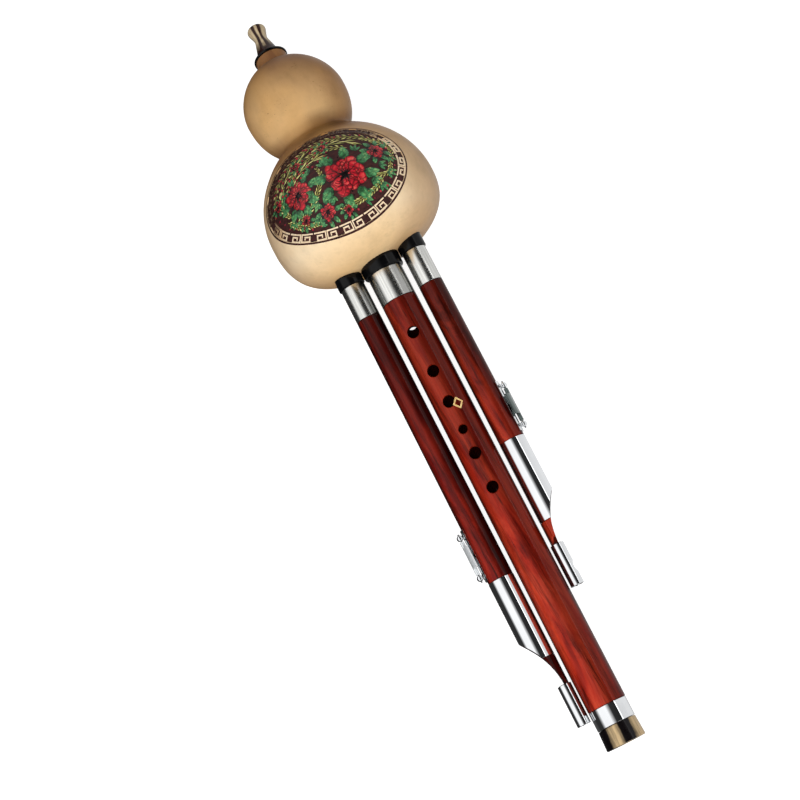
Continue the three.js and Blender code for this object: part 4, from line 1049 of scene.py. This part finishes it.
def build_lozenge():
    """A small gilt lozenge beside the finger holes."""
    place, angle, half_y, half_x, inner = 194.2, math.radians(66), 3.5, 3.0, 0.62
    radius, count = pipe_radius(place) + 0.03, 40
    verts, faces = [], []
    corners = [(1, 0), (0, 1), (-1, 0), (0, -1)]
    for share in (1.0, inner):
        for i in range(count):
            side, part = divmod(i / count * 4, 1)
            (x0, y0), (x1, y1) = corners[int(side)], corners[(int(side) + 1) % 4]
            x, y = (x0 + (x1 - x0) * part) * half_x * share, (y0 + (y1 - y0) * part) * half_y * share
            turned = angle - x / radius
            verts.append((radius * math.cos(turned), place + y, radius * math.sin(turned)))
    for i in range(count):
        j = (i + 1) % count
        faces.append((i, j, count + j, count + i))
    add("gilt_lozenge", (verts, faces), "gilt", "melody_pipe", MAIN)


# Drones
DRONE_R, DRONE_TOP_R, DRONE_BORE_R = 7, 6.65, 3.6
LOWER_SPIGOT_R, LOWER_SPIGOT, UPPER_SPIGOT_R = 6.2, 16, 5.5
SLEEVE_R, SLEEVE_BORE_R = 7.15, 6.45
KEY_RISE, KEY_ANGLE = 16.55, math.radians(-75)
TAIL_TUBE_R, TAIL_TUBE_SHIFT = 3.7, 4.25


def scoop_cutter(d, mirror, reach=30):
    """A block that cuts a sleeve slantwise along a curve, down to a flat face."""
    face = d["thick"] - SLEEVE_R
    across, height = SLEEVE_R - face, d["scoop"] - d["tongue"]
    p0, p3 = (SLEEVE_R, d["scoop"]), (face, d["tongue"])
    p1 = (SLEEVE_R - across * 0.465, d["scoop"] - height * 0.228)
    p2 = (SLEEVE_R - across * 0.967, d["scoop"] - height * 0.526)
    curve = [tuple((1 - t) ** 3 * p0[k] + 3 * t * (1 - t) ** 2 * p1[k] + 3 * t ** 2 * (1 - t) * p2[k]
                   + t ** 3 * p3[k] for k in (0, 1)) for t in np.linspace(0, 1, 33)]
    outline = [(face, d["tube"]), (reach, d["tube"]), (reach, d["scoop"]), *curve]
    return prism(outline, -reach, reach, mirror)


def tube_notch(d, mirror, length=6.5, depth=1.0, down=0.6):
    """A shallow scallop cut into the outer side of a tail tube, somewhat below its middle."""
    radius = (length ** 2 / 4 + depth ** 2) / (2 * depth)
    middle = TAIL_TUBE_R - TAIL_TUBE_SHIFT - depth + radius
    at = d["tongue"] - down * (d["tongue"] - d["tube"])
    turns = np.linspace(0, 2 * math.pi, 48, endpoint=False)
    return prism([(middle + radius * math.cos(a), at + radius * math.sin(a)) for a in turns], -5, 5, mirror)


def build_drone(name, d):
    mirror, body, place = d["side"], name + "_drone", DRONE[name]
    low, high, sleeve_top = d["sleeve"] - LOWER_SPIGOT, d["socket"] - 1.7, d["sleeve"] - SEAT_GAP
    wood = rounded([(DRONE_BORE_R, low), (LOWER_SPIGOT_R, low), (LOWER_SPIGOT_R, d["sleeve"]),
                    (DRONE_R, d["sleeve"]), (DRONE_TOP_R, d["wood"]), (UPPER_SPIGOT_R, d["wood"]),
                    (UPPER_SPIGOT_R, high), (DRONE_BORE_R, high)], 0.25)
    # a flat seat under the key's pad, and the tone hole in it
    drills = [pin(profile, d["sleeve"] + KEY_RISE, KEY_ANGLE, mirror=mirror)
              for profile in (ring(0, 3.5, 6.2, 12), ring(0, 2, 1, 9))]
    add(f"{name}_drone_wood", lathe(wood, 80), name + "_wood", body, place, [f"{name}_drone_pipe"],
        cutters=drills)
    sleeve = sleeve_profile(DRONE_TOP_R, 5.75, 4.2, DRONE_BORE_R, d["wood"] + SEAT_GAP, d["socket"])
    add(f"{name}_drone_top_sleeve", lathe(sleeve, 80), name + "_nickel", body, place, [f"{name}_top_sleeve"])
    lower = rounded(ring(SLEEVE_BORE_R, SLEEVE_R, d["sleeve_foot"], sleeve_top), 0.25)
    add(f"{name}_drone_lower_sleeve", lathe(lower, 96), "chrome", body, place, [f"{name}_lower_sleeve"],
        cutters=[scoop_cutter(d, mirror)])
    tube = rounded(ring(3.1, TAIL_TUBE_R, d["tube"], d["tongue"]), 0.2)
    notches = [tube_notch(d, mirror)] if name == "right" else []
    add(f"{name}_drone_tail_tube", lathe(tube, 64, x=-mirror * TAIL_TUBE_SHIFT), "chrome", body, place,
        [f"{name}_tail_tube"], cutters=notches)
    plate = "dark_plate" if name == "right" else "pale_plate"
    soft_copy(f"{name}_tail", name + "_wood", body, 0.12)
    soft_copy(f"{name}_key_base", "chrome", body, 0.12)
    soft_copy(f"{name}_key_rod", "steel", body, 0.06)
    soft_copy(f"{name}_key_lever", plate, name + "_key", 0.12)
    for number in (1, 2):
        soft_copy(f"{name}_key_screw_{number}", "steel", body, 0.08)


PIPE_INSIDES = {"seal": "cork", "reed_tube": "tube_wood", "reed": "brass"}
KEY_INSIDES = {"pad": "leather", "spring": "steel"}


def dress(node, material):
    """Gives a CAD node that is shown as it is one of the materials."""
    data = frame["nodes"][node].data
    data.materials.clear()
    data.materials.append(MATERIALS[material])


def dress_insides():
    for part, material in PIPE_INSIDES.items():
        for pipe in ("main", *SIDES):
            dress(f"{pipe}_{part}", material)
    for part, material in KEY_INSIDES.items():
        for side in SIDES:
            dress(f"{side}_key_{part}", material)


# Stage, light and camera
def panel(name, centre, size, power, target=(0, 0.05, 0)):
    light = bpy.data.lights.new(name, "AREA")
    light.shape, light.size, light.energy = "SQUARE", size, power
    holder = new_object(name, light)
    holder.location = centre
    holder.rotation_euler = (Vector(target) - Vector(centre)).to_track_quat("-Z", "Y").to_euler()
    holder.visible_glossy = False


def build_stage():
    """A pale floor: white to the camera with a faint shadow, and a black card's reflection on its left."""
    side, height = 6, -0.0003
    mesh = bpy.data.meshes.new("floor")
    corners = [(-side, -side, height), (side, -side, height), (side, side, height), (-side, side, height)]
    mesh.from_pydata(corners, [], [(0, 1, 2, 3)])
    paint = Paint("floor_white", Roughness=0.9, Specular_IOR_Level=0.0)
    paint.color((0.6, 0.6, 0.6, 1))
    lit = paint.shader.outputs[0]
    card = paint.ramp(paint.span(paint.axis("X"), -0.05, 0.03), (0.0, 0.03), (0.5, 0.1), (1.0, 0.85))
    mirrored = paint.node("Emission", {"Color": card, "Strength": 1.0}).outputs[0]
    glow = paint.node("Emission", {"Color": (1, 1, 1, 1), "Strength": 0.8}).outputs[0]
    seen = paint.node("AddShader", {0: lit, 1: glow}).outputs[0]
    shown = paint.for_rays("Camera", paint.for_rays("Glossy", lit, mirrored), seen)
    paint.put(paint.tree.nodes["Material Output"], "Surface", shown)
    mesh.materials.append(paint.material)
    floor = new_object("floor", mesh)


# What the polished pieces mirror, by the angle from straight above towards +x
SURROUNDINGS = [(-180, 0.03), (-84, 0.03), (-76, 0.3), (-64, 1.1), (-18, 1.15), (-6, 0.5), (6, 0.03),
                (40, 0.02), (42.5, 0.3), (43.2, 2.8), (46, 2.8), (47, 0.8), (140, 0.85), (180, 0.3)]
GLOW = 3.0


def build_world():
    """Lit panels all along the instrument for the polished pieces, and even light for the rest."""
    world = bpy.data.worlds.new("studio")
    bpy.context.scene.world = world
    world.use_nodes = True
    nodes = Nodes(world.node_tree)
    ray = nodes.node("TexCoord").outputs["Generated"]
    axes = Vector((1, 0, 0)), INST.to_3x3() @ Vector((0, 0, 1))
    shares = [nodes.node("VectorMath", {0: ray, 1: axis}, operation="DOT_PRODUCT").outputs["Value"]
              for axis in axes]
    panels = nodes.by_angle(nodes.math("ARCTAN2", *shares), [(a, value / GLOW) for a, value in SURROUNDINGS])
    mirrored, even, seen = (nodes.node("Background", {"Color": color, "Strength": strength}).outputs[0]
                            for color, strength in ((panels, GLOW), ((1, 1, 1, 1), 0.4), ((1, 1, 1, 1), 1.0)))
    shown = nodes.for_rays("Camera", nodes.for_rays("Glossy", even, mirrored), seen)
    nodes.put(nodes.tree.nodes["World Output"], "Surface", shown)


def build_camera():
    pitch, roll = math.radians(13), math.radians(26.9)
    right = Vector((1, 0, 0))
    up = Vector((0, math.cos(pitch), math.sin(pitch)))
    back = Vector((0, -math.sin(pitch), math.cos(pitch)))
    axes = (math.cos(roll) * right - math.sin(roll) * up, math.cos(roll) * up + math.sin(roll) * right, back)
    spot = Vector((-23.7, -26.3, 1031.1)) * MM
    place = Matrix.Translation(spot) @ Matrix(axes).transposed().to_4x4()
    lens = bpy.data.cameras.new("camera")
    lens.lens, lens.sensor_width = 90, 36
    lens.clip_start, lens.clip_end = 0.05, 20
    camera = new_object("camera", lens)
    camera.matrix_world = INST @ place
    bpy.context.scene.camera = camera


build_gourd()
build_sockets()
build_medallion()
build_melody_pipe()
for drone_name, drone_sizes in SIDES.items():
    build_drone(drone_name, drone_sizes)
dress_insides()
build_stage()
build_world()
panel("key_light", (-0.1, -0.5, 1.05), 0.6, 8.6)
panel("foot_light", (-0.15, -1.0, 0.45), 0.5, 2.5, (0, 0.15, 0.03))
build_camera()

scene = bpy.context.scene
scene.render.resolution_x = scene.render.resolution_y = 800
scene.view_settings.view_transform = "Standard"
